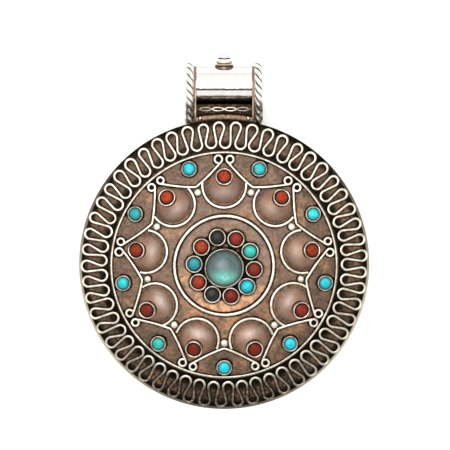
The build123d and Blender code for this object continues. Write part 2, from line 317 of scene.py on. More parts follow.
floor_mesh.materials.append(paper)
print("floor laid at the back face of the box")

# %% [markdown]
# Old silver shows what stands round it. The world is a white room whose light fades towards the floor and is
# a little stronger on the side of the bail. High up on the other side it has one dark patch: the polished
# tube shows it as a fine dark line, and the wires at the lower edge of the box turn dark, as they do in the
# photograph. A black card in the scene could do the same, but a patch in the room casts no shadow. It is a
# direction in the room, so it stays put when the view moves.

# %% Light the room
ROOM_FILL = 0.97
ROOM_COLOUR = (1.0, 0.988, 0.96)
FLOOR_LIGHT = 0.78
BAIL_LIGHT = 1.15
FADE = 0.7
PATCH_LEAN = math.radians(23)
PATCH_EDGES = (math.cos(math.radians(11)), math.cos(math.radians(5)))
PATCH_LIGHT = 0.05

scene.world = bpy.data.worlds.new("white_room")
scene.world.use_nodes = True
room = scene.world.node_tree
direction = add(room, "TexCoord").outputs["Generated"]
_, along, height = add(room, "SeparateXYZ", direction).outputs
patch = (0, -math.sin(PATCH_LEAN), math.cos(PATCH_LEAN))
facing = add(room, "VectorMath", direction, patch, operation="DOT_PRODUCT").outputs["Value"]
strength = ROOM_FILL
for share in (
    stretch(room, facing, *PATCH_EDGES, 1.0, PATCH_LIGHT),
    stretch(room, height, 0.0, FADE, FLOOR_LIGHT, 1.0),
    stretch(room, along, -FADE, FADE, 1.0, BAIL_LIGHT),
):
    strength = maths(room, "MULTIPLY", strength, share)
strength = maths(room, "MAXIMUM", strength, add(room, "LightPath").outputs["Is Camera Ray"])
background = room.nodes["Background"]
background.inputs["Color"].default_value = (*ROOM_COLOUR, 1)
room.links.new(strength, background.inputs["Strength"])
print("a white room with one dark patch")

# %% [markdown]
# A room that is white all round leaves relief flat. One soft lamp hangs almost overhead, a little towards the
# bail, and gives the light its direction. Its power is worked out from how bright its surface should look,
# so a change of its size does not change how bright it is in the mirror of the silver.

# %% Hang the lamp
LAMP_PLACE = Vector((-0.05, 0.09, 0.66))
LAMP_SIZE = 0.46
LAMP_RADIANCE = 2.5

lamp = new_object("bail_side_lamp", bpy.data.lights.new("bail_side_lamp", "AREA"))
lamp.data.size = LAMP_SIZE
lamp.data.energy = LAMP_RADIANCE * math.pi * LAMP_SIZE**2
lamp.location = LAMP_PLACE
lamp.rotation_euler = (LAMP_PLACE - aim).to_track_quat("Z", "Y").to_euler()
lamp.visible_camera = False
scene.view_settings.view_transform = "Standard"
print(f"one soft lamp, {LAMP_PLACE.z:.2f} m above the floor")

# %% [markdown]
# ## Metals
# Silver wire is rubbed bright on top and stays black at its foot, where polish never reaches, and that black
# also stands in as painted shade under the wire. The meshes carry that as a value called `foot`, and the
# graph mixes bright and dark silver by it. A second value is the share of brown skin on what is seldom
# rubbed, and on a few wires it carries painted shade and a painted dark reflection instead. A shader can look
# for crevices by itself, but values on the mesh look the same in every renderer. Fine noise in the roughness
# breaks up the highlights.

# %% Silver finishes
BRIGHT_SILVER = (0.83, 0.77, 0.665)
DULL_SILVER = (0.57, 0.51, 0.42)
SOOT = (0.006, 0.005, 0.0038)
WARM_SOOT = (0.046, 0.029, 0.018)
TARNISH = (0.09, 0.066, 0.046)


def silver(name, bright, dull, rough, grime=(0.45, 0.95), patch=0.7):
    """Silver in two tones; `rough` is a range, and the next argument is the range of `foot` in which it turns
    black, with tarnish and painted shade.
    """
    def build(tree):
        tone = ramp(tree, noise(tree, patch), (0.38, dull), (0.58, bright))
        uneven = stretch(tree, noise(tree, 2.0), 0.3, 0.6, 0.6, 1.0)
        # Brown tarnish, which on some wires is painted shade and a painted dark reflection instead.
        tone = blend(tree, maths(tree, "MULTIPLY", attribute(tree, "tarnish"), uneven), tone, TARNISH)
        # The black at the foot is tarnish and painted shade under the wire.
        colour = blend(tree, stretch(tree, attribute(tree, "foot"), *grime), tone, SOOT)
        gloss = stretch(tree, noise(tree, 4.0), 0.3, 0.7, *rough)
        return {"Base Color": colour, "Roughness": gloss, "Normal": dents(tree, noise(tree, 3.0), 0.03)}
    return finish_material(name, build, 1.0)


wire_silver = silver("wire_silver", BRIGHT_SILVER, DULL_SILVER, (0.2, 0.36), (0.45, 0.9))
bezel_silver = silver("bezel_silver", (0.95, 0.88, 0.75), (0.46, 0.39, 0.31), (0.22, 0.42), (0.12, 0.4))
rope_silver = silver("rope_silver", (0.95, 0.93, 0.89), (0.90, 0.87, 0.81), (0.16, 0.3), (0.2, 0.42))
tube_silver = silver("tube_silver", (0.97, 0.96, 0.94), (0.94, 0.92, 0.89), (0.06, 0.12))
case_silver = silver("case_silver", (0.63, 0.58, 0.51), (0.47, 0.42, 0.36), (0.24, 0.38), patch=0.09)
print("five silver finishes")

# %% [markdown]
# The plate under the wires is copper-toned metal with an uneven brown skin. Broad noises mix mauve, orange
# and grey, and finer ones stain and speckle them, because one noise alone looks like clouds. The mesh carries
# three values: the first brings out the orange and lays a painted pool of light, the second blackens the
# narrow places with soot and painted shade, and the third lays the metal bare again and paints highlights.

# %% Copper finishes
MAUVE = (0.208, 0.139, 0.106)
ORANGE = (0.55, 0.30, 0.17)
GREY_SKIN = (0.140, 0.092, 0.066)
# Colour of worn metal and painted highlight, on the rim and the bail.
RIM_CREAM = (0.62, 0.54, 0.43)
# Colour of the painted highlight on the petals.
PETAL_SHINE = (0.60, 0.57, 0.53)
PETAL_TONES = ((0.30, 0.172, 0.124), (0.42, 0.245, 0.155), (0.31, 0.205, 0.157))
BAIL_TONES = ((0.40, 0.25, 0.18), (0.52, 0.33, 0.23), (0.30, 0.22, 0.17))
WARM_SHARE = 0.3


def copper(name, tones, rough, dirt=0.36, rubbed=RIM_CREAM):
    """Copper under an old, patchy skin of three tones; `dirt` is the most that stains and specks cover."""
    mauve, orange, grey = tones

    def build(tree):
        # Warm orange in the copper, which on the front plate is also a painted pool of light.
        warm = maths(tree, "MULTIPLY", attribute(tree, "warm"), WARM_SHARE)
        warm = maths(tree, "ADD", noise(tree, 0.22), warm)
        colour = blend(tree, stretch(tree, warm, 0.48, 0.76), mauve, orange)
        colour = blend(tree, stretch(tree, noise(tree, 0.55, 5.0), 0.45, 0.7), colour, grey)
        stains = stretch(tree, noise(tree, 0.9, 6.0, 0.75), 0.5, 0.72, 0.0, dirt)
        specks = stretch(tree, noise(tree, 2.8, 5.0, 0.7), 0.52, 0.7, 0.0, dirt)
        uneven = stretch(tree, noise(tree, 1.4, 4.0), 0.35, 0.65, 0.88, 1.22)
        # Soot and painted shade darken the copper, first to brown and then to black.
        soot = maths(tree, "MULTIPLY", attribute(tree, "soot"), uneven)
        for brown in (stains, specks, stretch(tree, soot, 0.25, 0.7)):
            colour = blend(tree, brown, colour, WARM_SOOT)
        colour = blend(tree, stretch(tree, soot, 0.55, 0.95), colour, SOOT)
        # Worn metal and painted highlights lighten the copper.
        colour = blend(tree, attribute(tree, "rub"), colour, rubbed)
        gloss = stretch(tree, noise(tree, 1.5, 5.0), 0.3, 0.7, *rough)
        return {"Base Color": colour, "Roughness": gloss, "Normal": dents(tree, noise(tree, 0.9, 4.0), 0.12)}
    return finish_material(name, build, 1.0)


front_copper = copper("front_copper", (MAUVE, ORANGE, GREY_SKIN), (0.34, 0.5))
petal_copper = copper("petal_copper", PETAL_TONES, (0.46, 0.58), 0.2, PETAL_SHINE)
bail_copper = copper("bail_copper", BAIL_TONES, (0.3, 0.5))
print("three copper finishes")

# %% [markdown]
# ## Stones
# Each stone has its own colour, because no two beads of coral or turquoise match. The colour is stored on the
# vertices as `tint`, and noise clouds it. A stone is painted darker where it dips behind its bezel, as shade.
# The large middle stone is teal with a painted glow at its lower edge, which its `tint` carries too.


# %% Stone finishes
def gem(name, cloud, cloud_scale, rough, shine, cloudy=0.7):
    """A polished opaque stone: its own tint, clouded by a second colour; `shine` is its specular level."""
    def build(tree):
        tint = add(tree, "Attribute", attribute_name="tint").outputs["Color"]
        share = stretch(tree, noise(tree, cloud_scale, 4.0), 0.45, 0.7, 0.0, cloudy)
        # Painted shade darkens the stone towards its edge.
        edge = stretch(tree, attribute(tree, "foot"), 0.1, 0.8, 0.0, 0.95)
        colour = blend(tree, edge, blend(tree, share, tint, cloud), SOOT)
        gloss = stretch(tree, noise(tree, 3.0), 0.3, 0.7, rough, rough + 0.15)
        return {"Base Color": colour, "Roughness": gloss, "Normal": dents(tree, noise(tree, 1.6), 0.06)}
    return finish_material(name, build, 0.0, Specular_IOR_Level=shine)


coral = gem("coral", (0.11, 0.008, 0.004), 1.7, 0.16, 0.15, 0.8)
turquoise = gem("turquoise", (0.004, 0.24, 0.27), 1.1, 0.18, 0.3)
dark_stone = gem("dark_stone", (0.03, 0.036, 0.034), 0.8, 0.18, 0.24)
teal_stone = gem("teal_stone", (0.10, 0.22, 0.20), 1.3, 0.1, 0.35)
print("four kinds of stone")

# %% [markdown]
# ## Shapes from rings
# Almost everything here is a row of rings joined by faces: a wire is rings along a path, and a bezel is
# rings round an axis. One helper, `loft`, joins rings, so each piece only has to say where its rings are.
# Blender's curves with a bevel could make the wires too, but rings in code can carry the `foot` value.


# %% Helpers for rings
def unit(vectors):
    """Vectors of length one."""
    return vectors / np.linalg.norm(vectors, axis=-1, keepdims=True)


def full_turn(count):
    """Angles that share out a full turn evenly, in radians."""
    return np.arange(count) * 2 * math.pi / count


def arc(centre, radius, start, sweep, steps):
    """Points along an arc; angles in radians from +X."""
    angles = start + sweep * np.linspace(0, 1, steps + 1)
    return np.column_stack([centre[0] + radius * np.cos(angles), centre[1] + radius * np.sin(angles)])


def loft(rings, loop=False):
    """Join rings of points by faces; a row that isn't a loop gets an end face at both ends."""
    rows, across = rings.shape[:2]
    index = np.arange(rows * across).reshape(rows, across)
    faces = []
    for row in range(rows if loop else rows - 1):
        here, there = index[row], index[(row + 1) % rows]
        faces += zip(here, np.roll(here, -1), np.roll(there, -1), there)
    if not loop:
        faces += [tuple(index[0][::-1]), tuple(index[-1])]
    return rings.reshape(-1, 3), faces


print("rings can be joined")

# %% [markdown]
# A piece is a mesh with its values, its finish and its place in the frame: the solid it stands for and the
# body it rides on. One function does all of that, so no piece can miss a part of it. Faces that meet at a
# sharp angle keep a hard edge, and all others are shaded smooth.


# %% Helper that makes a piece
def make_piece(name, shapes, material, slot=None, body="lid", sharp=40, **values):
    """Turn shapes into one piece, which stands for the CAD node of its name and rides on a body.

    Its `slot` argument is not used. The solids use the same names, so Blender has put a number after a dot
    behind some of them. Extra values are lists with one array for each shape, stored on the vertices under
    their name.
    """
    points, faces, start = [], [], 0
    for shape_points, shape_faces in shapes:
        points.append(shape_points)
        faces += [[int(corner) + start for corner in face] for face in shape_faces]
        start += len(shape_points)
    mesh = bpy.data.meshes.new(name + "_worked")
    mesh.from_pydata(np.concatenate(points).tolist(), [], faces)
    for label, arrays in values.items():
        data = np.concatenate([np.asarray(a, np.float32) for a in arrays])
        kind, key = ("FLOAT_COLOR", "color") if data.ndim == 2 else ("FLOAT", "value")
        mesh.attributes.new(label, kind, "POINT").data.foreach_set(key, data.ravel())
    tidy = bmesh.new()
    tidy.from_mesh(mesh)
    bmesh.ops.recalc_face_normals(tidy, faces=tidy.faces)
    tidy.to_mesh(mesh)
    tidy.free()
    mesh.shade_smooth()
    mesh.set_sharp_from_angle(angle=math.radians(sharp))
    mesh.materials.append(material)
    piece = new_object(name + "_worked", mesh)
    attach(piece, body)
    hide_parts(name)


print("pieces can be made")

# %% [markdown]
# A wire is worn flat on top and soldered flat below, so its section is not a plain circle. `lay_wire` puts
# one on the slopes of the front. It also notes where the wire meets the plate, so that the plate can be
# black there later.

# %% Helpers for wires
TOP_FLATNESS = 0.6
SIDE_FLATNESS = 0.8
SOLDERED = -0.75
crevice_points = []


def wire_shape(path, ups, width, height, loop=False, sides=14):
    """A wire along a path, worn a little flat on top and soldered down below; also its `foot` values."""
    path, ups = np.asarray(path), np.asarray(ups)
    ahead = np.roll(path, -1, 0) - np.roll(path, 1, 0) if loop else np.gradient(path, axis=0)
    side = unit(np.cross(unit(ahead), ups))
    aside, level = np.cos(full_turn(sides)), np.sin(full_turn(sides))
    across = np.sign(aside) * abs(aside) ** SIDE_FLATNESS * width / 2
    rise = np.where(level > 0, abs(level) ** TOP_FLATNESS, np.maximum(level, SOLDERED)) * height / 2
    rings = path[:, None] + side[:, None] * across[None, :, None] + ups[:, None] * rise[None, :, None]
    # The lower half of the wire is marked black, for tarnish and painted shade.
    foot = np.broadcast_to(0.5 - 0.5 * level, rings.shape[:2])
    return loft(rings, loop), foot.ravel().copy()


def lay_on_front(flat_points, lift):
    """Lift points of the front onto its slopes; returns them and the directions square to the front."""
    flat_points = np.asarray(flat_points)
    ups = np.array([front_normal(p) for p in flat_points])
    return np.column_stack([flat_points, front_height(radius_of(flat_points))]) + ups * lift, ups


def note_crevice(points, half_width):
    """Remember where a piece meets the plate, so that the plate can be black beside it."""
    crevice_points.extend((tuple(p), half_width) for p in points)


def lay_wire(name, line, lift, width, height, crevice=LINE / 2, loop=False, skin=None):
    """Lay a wire on the front; the last argument is a function of its path and `foot` values that returns
    tarnish and painted shade.
    """
    path, ups = lay_on_front(line, lift)
    shape, foot = wire_shape(path, ups, width, height, loop)
    tarnish = {} if skin is None else {"tarnish": [skin(path, foot)]}
    make_piece(name, [shape], wire_silver, foot=[foot], **tarnish)
    note_crevice(path, crevice)


print("wire helpers ready")

# %% [markdown]
# ## Meander wire
# One wire runs round the border in 53 loops. It is drawn as circles that alternate between the rim and the
# star, turned left and right by turns, with straight legs that touch both circles. The loops lean to one
# side or the other in different places, and small seeded changes of each circle give the hand of the maker:
# a plain sine wave would look machine-made.

# %% Set out the bends of the meander
LOOPS = 53
OUTER_BEND = 1.14 * MM
INNER_BEND = 1.2 * MM
FIRST_LOOP = 4.8
WANDER = (-0.25, 0.25)
SLIP = (-0.1, 0.08)
INNER_SPREAD = (0.94, 1.02)
OUTER_SPREAD = (0.92, 1.06)
LEAN_AZIMUTHS = (0, 45, 90, 120, 150, 180, 210, 250, 290, 330)
LEANS = (-0.8, 0.0, 0.0, 0.8, 1.0, 0.1, -0.2, -1.4, -1.0, -0.4)
RIM_MARGIN = 0.35 * MM
FOOT_MARGIN = 0.2 * MM
hand = random.Random(53)


def meander_circles():
    """Centres, radii and turning directions of the bends, by turns at the rim and at the star."""
    outer = rim_radius - RIM_MARGIN - WIRE / 2 - OUTER_BEND
    inner = field_radius + FOOT_MARGIN + WIRE / 2 + INNER_BEND
    circles = []
    for number in range(2 * LOOPS):
        azimuth = FIRST_LOOP + number * 180 / LOOPS + hand.uniform(*WANDER)
        slip = hand.uniform(*SLIP) * MM
        if number % 2:
            azimuth += np.interp(azimuth % 360, LEAN_AZIMUTHS, LEANS, period=360)
            circles.append((at(inner - slip, azimuth), INNER_BEND * hand.uniform(*INNER_SPREAD), 1))
        else:
            circles.append((at(outer + slip, azimuth), OUTER_BEND * hand.uniform(*OUTER_SPREAD), -1))
    return circles


bends = meander_circles()
print(f"{len(bends)} bends for {LOOPS} loops")

# %% [markdown]
# The wire leaves one bend along a straight line that touches the next. The angle of that line follows from
# the two radii and the distance between the centres. A freehand curve would need hundreds of points that
# nobody could change later. The loops farthest from the bail get a painted dark reflection on top, but for
# the part of each loop that lies next to the star.

# %% Bend the meander wire
ARC_STEPS = 12
LEG_STEPS = 9
MEANDER_LIFT = SOLDER + 0.22 * MM
# How dark the painted reflection on the loops is, round the box.
DARK_AZIMUTHS = (100, 140, 160, 205, 225, 250)
DARKNESS = (0.0, 0.55, 1.0, 1.0, 0.6, 0.0)
DARK_FROM = 0.9 * MM
DARK_FADE = 1.2 * MM
DARK_FEET = (0.21, 0.91)


def leg_heading(here, there):
    """Direction of the straight leg that leaves one bend and touches the next."""
    gap = there[0] - here[0]
    lean = math.asin(min(1, (here[1] + there[1]) / math.hypot(*gap)))
    return math.atan2(gap[1], gap[0]) + here[2] * lean


def meander_path(circles):
    """The whole centreline, seen from above."""
    pieces = []
    for number, (centre, bend, way) in enumerate(circles):
        before, after = circles[number - 1], circles[(number + 1) % len(circles)]
        start = leg_heading(before, circles[number]) - way * math.pi / 2
        stop = leg_heading(circles[number], after) - way * math.pi / 2
        sweep = (stop - start) * way % (2 * math.pi) * way
        bow = arc(centre, bend, start, sweep, ARC_STEPS)
        if pieces:
            pieces.append(np.linspace(pieces[-1][-1], bow[0], LEG_STEPS)[1:-1])
        pieces.append(bow)
    pieces.append(np.linspace(pieces[-1][-1], pieces[0][0], LEG_STEPS)[1:-1])
    return np.concatenate(pieces)


def dark_loops(path, foot):
    """Painted dark reflection on the upper side of the loops far from the bail, except near the star."""
    dark = np.interp(azimuth_of(path), DARK_AZIMUTHS, DARKNESS)
    dark *= np.clip((radius_of(path) - field_radius - DARK_FROM) / DARK_FADE, 0, 1)
    return np.repeat(dark, len(foot) // len(path)) * np.interp(foot, DARK_FEET, (1, 0))


meander_line = meander_path(bends)
lay_wire("meander_wire", meander_line, MEANDER_LIFT, LINE, LINE_HEIGHT, loop=True, skin=dark_loops)
print(f"meander wire: {LOOPS} loops, {len(meander_line)} rings")

# %% [markdown]
# ## Ring wires, petal arcs and chevrons
# Two rings of wire frame the star and the medallion. A torus would be perfectly round, so the radius wavers
# a little on the way. The ring round the star is dull, and the ring round the medallion bright.

# %% Lay the two ring wires
RING_STEPS = 360
RING_WAVER = 0.05 * MM
RING_WAVES = 3
RING_PHASE = 40
RING_LIFT = 0.3
RING_OVERLAP = 0.1 * MM


def ring_wire(name, radius, width, height, dull):
    """A ring of wire that is not quite round; `dull` is its share of dark skin."""
    azimuths = np.linspace(0, 360, RING_STEPS, endpoint=False)
    waves = radius + RING_WAVER * np.sin(np.radians(RING_WAVES * azimuths + RING_PHASE))
    line = [at(reach, azimuth) for reach, azimuth in zip(waves, azimuths)]
    lay_wire(
        name, line, height * RING_LIFT, width, height, width / 2 - RING_OVERLAP, True,
        lambda path, foot: np.full(len(foot), dull),
    )


ring_wire("star_ring_wire", star_radius, 0.52 * MM, 0.5 * MM, 0.42)
ring_wire("medallion_ring_wire", medallion_radius, 0.7 * MM, 0.64 * MM, 0.06)
print("two ring wires")

# %% [markdown]
# Each petal has an arc of wire round its inner half. All nine could be copies of one, but on the real box no
# two arcs are alike, so each has its own span, tilt and reach. An arc is drawn at the top of the star and
# then turned to its petal.

# %% Lay the petal arcs
ARC_GAP = 0.9 * MM
ARC_SPAN = 190
ARC_POINTS = 36
SPAN_SPREAD = (-10, 6)
TILT_SPREAD = (-3, 3)
REACH_SPREAD = (-0.1, 0.1)
ARC_WIDTH = LINE + 0.05 * MM
LINE_LIFT = SOLDER + 0.2 * MM


def turned_by(points, azimuth):
    """Turn points of the top of the star round to an azimuth."""
    cos, sin = math.cos(math.radians(azimuth)), math.sin(math.radians(azimuth))
    x, y = np.asarray(points).T
    return np.column_stack([x * cos + y * sin, y * cos - x * sin])


for number in range(PETALS):
    span = math.radians(ARC_SPAN + hand.uniform(*SPAN_SPREAD))
    middle = math.radians(270 + hand.uniform(*TILT_SPREAD))
    reach = petal_half + ARC_GAP + hand.uniform(*REACH_SPREAD) * MM
    line = turned_by(arc((0, petal_orbit), reach, middle - span / 2, span, ARC_POINTS), number * STEP)
    lay_wire(f"petal_arc_{number + 1}", line, LINE_LIFT, ARC_WIDTH, LINE_HEIGHT)
print(f"{PETALS} petal arcs")

# %% [markdown]
# Between two petals stands a chevron whose ends curl up beside those of its neighbours. Each half is a leg
# that touches a circle, and then most of a turn round that circle. The legs sag a little, as wire does when
# it is bent by hand, and each half is drawn anew, so that no chevron is a mirror image of itself.

# %% Bend the chevrons
CURL_BEND = 0.78 * MM
CURL_TURN = math.radians(330)
CURL_DEPTH = 0.68 * MM
CURL_GAP = 0.2 * MM
CHEVRON_BOW = 0.18 * MM
CHEVRON_GAP = 0.45 * MM
CHEVRON_POINTS = 22
DEPTH_SPREAD = (-0.1, 0.1)
ASIDE_SPREAD = (-0.08, 0.08)
BEND_SPREAD = (0.92, 1.08)
TURN_SPREAD = (-0.3, 0.2)
APEX_REACH = 0.05 * MM
GRANULE_HALF = 0.8 * MM
GRANULE_SHIFT = -0.5 * MM
granule_orbit = petal_orbit + GRANULE_SHIFT
chevron_orbit = granule_orbit + GRANULE_HALF + CHEVRON_GAP


def chevron_half():
    """One half of a chevron at the top of the front, from its apex to the end of its curl."""
    orbit = star_radius - CURL_DEPTH - CURL_BEND + hand.uniform(*DEPTH_SPREAD) * MM
    aside = CURL_BEND + WIRE / 2 + CURL_GAP / 2 + hand.uniform(*ASIDE_SPREAD) * MM
    curl = at(orbit, STEP / 2 - math.degrees(math.asin(aside / orbit)))
    gap = curl - (0, chevron_orbit)
    bend = CURL_BEND * hand.uniform(*BEND_SPREAD)
    heading = math.atan2(gap[1], gap[0]) - math.asin(bend / math.hypot(*gap))
    sweep = CURL_TURN + hand.uniform(*TURN_SPREAD)
    bow = arc(curl, bend, heading - math.pi / 2, sweep, CHEVRON_POINTS)
    shares = np.linspace(0, 1, CHEVRON_POINTS)[1:-1, None]
    leg = (0, chevron_orbit) * (1 - shares) + bow[0] * shares
    sag = np.array((math.sin(heading), -math.cos(heading))) * CHEVRON_BOW
    return np.concatenate([leg + sag * np.sin(shares * math.pi), bow])


for number in range(PETALS):
    left = chevron_half()[::-1] * (-1, 1)
    apex = np.array([(0, chevron_orbit + APEX_REACH)])
    line = turned_by(np.concatenate([left, apex, chevron_half()]), (number + 0.5) * STEP)
    lay_wire(f"chevron_{number + 1}", line, LINE_LIFT, LINE, LINE_HEIGHT)
print(f"{PETALS} chevrons with curls")

# %% [markdown]
# ## Turned shapes
# Bezels, stones, granules and domes are all turned: a profile of radius and height goes round an axis. Each
# has its own axis, because the settings lean with the slope that they sit on. Blender's screw modifier turns
# a profile too, but here a slight wobble is wanted, which keeps a bezel from looking like a machined tube.


# %% Helpers for turned shapes
def seat(point, lean_to=None):
    """Origin and axes of a turned shape that stands on the front, or leans along a given direction."""
    up = Vector(lean_to) if lean_to is not None else front_normal(point)
    level = float(front_height(math.hypot(point[0], point[1])))
    side = up.orthogonal().normalized()
    return np.array((*point, level)), np.array((side, up.cross(side), up))


def turned(axes, profile, segments=40, wobble=0.0, phase=0.0, closed=False):
    """A profile of (radius, height) turned round an axis; `closed` joins its last point to its first."""
    origin, (side, front, up) = axes
    turn = full_turn(segments)
    # An oval and a slighter triangle, each turned by the phase, take the ring a little out of round.
    waver = 1 + wobble * (np.sin(2 * turn + phase) + 0.6 * np.sin(3 * turn + 2.3 * phase))
    circle = side * np.cos(turn)[:, None] + front * np.sin(turn)[:, None]
    rings = [origin + circle * (radius * waver)[:, None] + up * height for radius, height in profile]
    return loft(np.array(rings), closed)


def height_values(axes, shape, low, high):
    """A value from 1 at one height of a turned shape to 0 at another, for the black and the painted shade low
    on it.
    """
    along = (shape[0] - axes[0]) @ axes[1][2]
    return np.clip((high - along) / (high - low), 0, 1)


def soft_spot(flat_points, place, halves):
    """A value of 1 in the middle of an oval spot that fades to 0 past its half widths."""
    shares = (flat_points - np.asarray(place)) / halves
    return np.exp(-(shares * shares).sum(axis=1))


print("profiles can be turned")

# %% [markdown]
# A cabochon is a stone with a flat back and a domed top. A bezel is a thin band of silver that is rubbed over
# the stone's edge, so its profile bends inwards at the top. The edge of a sheet is filed half round.

# %% Profiles of stones, bezels and edges
BEZEL_WALL = 0.22 * MM
TIP = 0.02


def dome_profile(radius, bottom, shoulder, rise, steps=12):
    """Profile of a cabochon: straight to its shoulder, then a dome."""
    angles = np.linspace(0, math.pi / 2, steps)
    crown = [(max(radius * math.cos(a), TIP * radius), shoulder + rise * math.sin(a)) for a in angles]
    return [(radius, bottom), *crown]


def bezel_profile(radius, bottom, top):
    """Profile of a bezel whose top edge is rubbed over towards the stone."""
    inner = radius - BEZEL_WALL
    return [
        (radius * 1.03, bottom),
        (radius, bottom + 0.25 * (top - bottom)),
        (radius, top - 0.12 * MM),
        (radius - 0.2 * BEZEL_WALL, top - 0.02 * MM),
        (radius - 0.5 * BEZEL_WALL, top),
        (inner - 0.02 * MM, top - 0.06 * MM),
        (inner, top - 0.3 * MM),
        (inner, bottom),
    ]


def half_round(radius, level, half, steps):
    """Profile of a rounded edge, from below to above, round the middle of its bow."""
    angles = np.linspace(-math.pi / 2, math.pi / 2, steps)[1:-1]
    return [(radius + half * math.cos(a), level + half * math.sin(a)) for a in angles]


print(f"bezels with a wall of {BEZEL_WALL / MM:.2f} mm")

# %% [markdown]
# ## Settings
# A setting is a bezel and a stone, and there are 29 of them. Each could be modelled once and copied, but then
# all bezels would wobble alike. One function makes a whole group instead, with small seeded differences. The
# stones of one kind share a piece, as they share a node. A stone is painted a little lighter towards the
# bail, where the light comes from.

# %% Helper for settings
SEAT_DEPTH = 0.2 * MM
BEZEL_SIDES = 40
BEZEL_WOBBLE = 0.012
BEZEL_PHASES = (0, 6.3)
STONE_SIDES = 36
STONE_WOBBLE = 0.006
TOP_SPREAD = (-0.06, 0.06)
SHADE_SPREAD = (0.85, 1.12)
RIM_POINTS = 28
BEZEL_FOOT = -0.1 * MM
STONE_SINK = 0.3 * MM
# How much lighter a stone is painted towards the bail, where the light comes from.
CLEAR_SIDE = 0.3
# How closely the painted shade keeps to the edge of a stone.
EDGE_POWER = 3
RING_DARK = "medallion_dark_stones"
RING_CORAL = "medallion_coral_stones"
RING_BLUE = "medallion_turquoise_stones"
STONES = {
    "coral_stones": coral, "turquoise_stones": turquoise,
    RING_DARK: dark_stone, RING_CORAL: coral, RING_BLUE: turquoise,
}


def set_stones(places, bezel_node, half, top, crown, gap, dull=0.0):
    """Bezels and stones for a list of (axes, node, tint); the stones of a node make one piece."""
    bezels, feet, skins, groups = [], [], [], {}
    for axes, node, tint in places:
        phase = hand.uniform(*BEZEL_PHASES)
        own_top = top + hand.uniform(*TOP_SPREAD) * MM
        profile = bezel_profile(half, -SEAT_DEPTH, own_top)
        collar = turned(axes, profile, BEZEL_SIDES, BEZEL_WOBBLE, phase, True)
        bezels.append(collar)
        # Black patina and painted shade low on the bezel.
        feet.append(height_values(axes, collar, BEZEL_FOOT, own_top))
        skins.append(np.full(len(collar[0]), dull))
        radius = half - BEZEL_WALL - gap
        profile = dome_profile(radius, 0, own_top - STONE_SINK, crown)
        cabochon = turned(axes, profile, STONE_SIDES, STONE_WOBBLE, phase)
        shapes, tints, edges = groups.setdefault(node, ([], [], []))
        shapes.append(cabochon)
        offset = cabochon[0] - axes[0]
        # A random tone for each stone, painted lighter towards the bail where the light comes from.
        shade = hand.uniform(*SHADE_SPREAD) * (1 + CLEAR_SIDE * offset[:, 1:2] / radius)
        tints.append(np.column_stack([np.array(tint) * shade, np.ones(len(offset))]))
        # Painted shade towards the edge of each stone, where it dips behind its bezel.
        edges.append((np.linalg.norm(offset @ axes[1][:2].T, axis=1) / radius) ** EDGE_POWER)
        rim = arc((0, 0), half, 0, 2 * math.pi, RIM_POINTS)
        note_crevice(axes[0] + rim @ axes[1][:2], 0)
    make_piece(bezel_node, bezels, bezel_silver, foot=feet, tarnish=skins)
    for node, (shapes, tints, edges) in groups.items():
        make_piece(node, shapes, STONES[node], sharp=60, tint=tints, foot=edges)


print(f"ready to set {len(STONES)} kinds of small stone")

# %% [markdown]
# Nine corals lean outwards on the flanks of the petals. In the photograph those away from the bail are of a
# deeper red than those beside it, so the colour runs from one red to the other. Nine materials would do the
# same, but one material that reads `tint` is easier to change.

# %% Set the corals
CORAL_HALF = 1.9 * MM
CORAL_TOP = 2.2 * MM
CORAL_GAP = 0.16 * MM
CORAL_LEAN = math.radians(20)
CORAL_SHIFT = 1.4 * MM
CROWN = 0.62 * MM
CORAL_RED = (0.41, 0.044, 0.01)
CORAL_DEEP = (0.22, 0.017, 0.005)

corals = []
for number in range(PETALS):
    outward = at(1, number * STEP)
    lean = (*outward * math.sin(CORAL_LEAN), math.cos(CORAL_LEAN))
    low_side = 0.5 - 0.5 * outward[1]
    tint = [a + (b - a) * low_side for a, b in zip(CORAL_RED, CORAL_DEEP)]
    corals.append((seat(at(petal_orbit + CORAL_SHIFT, number * STEP), lean), "coral_stones", tint))
set_stones(corals, "coral_bezels", CORAL_HALF, CORAL_TOP, CROWN, CORAL_GAP)
print(f"{len(corals)} corals set")

# %% [markdown]
# Nine turquoises stand square on the slope, one in each chevron. Turquoise runs from sky blue to sea green
# even in one piece of jewellery, so each stone is given a blue of its own. Their bezels are duller than the
# others and fit closely.

# %% Set the turquoises
TURQUOISE_HALF = 1.7 * MM
TURQUOISE_TOP = 1.2 * MM
TURQUOISE_GAP = 0.02 * MM
TURQUOISE_DULL = 0.35
TURQUOISE_DEPTH = 2.3 * MM
TURQUOISE_BLUE = (0.006, 0.60, 0.72)
TURQUOISE_AQUA = (0.012, 0.62, 0.66)
TURQUOISE_GREEN = (0.02, 0.50, 0.41)
TURQUOISE_SEA = (0.02, 0.54, 0.53)
TURQUOISE_SKY = (0.03, 0.80, 0.86)
TURQUOISE_TEAL = (0.006, 0.32, 0.345)
blues = (
    TURQUOISE_SEA, TURQUOISE_SKY, TURQUOISE_BLUE, TURQUOISE_BLUE, TURQUOISE_BLUE,
    TURQUOISE_GREEN, TURQUOISE_AQUA, TURQUOISE_TEAL, TURQUOISE_BLUE,
)

turquoises = []
for number, tint in enumerate(blues):
    point = at(star_radius - TURQUOISE_DEPTH, (number + 0.5) * STEP)
    turquoises.append((seat(point), "turquoise_stones", tint))
set_stones(
    turquoises, "turquoise_bezels", TURQUOISE_HALF, TURQUOISE_TOP, CROWN, TURQUOISE_GAP, TURQUOISE_DULL,
)
print(f"{len(turquoises)} turquoises set")

# %% [markdown]
# Ten small settings ring the middle of the medallion: five corals, three turquoises and two dark stones, in
# an order that follows no rule, so it is written out as a list. They stand upright, and the ring lies a
# little off the middle, as on the real box.

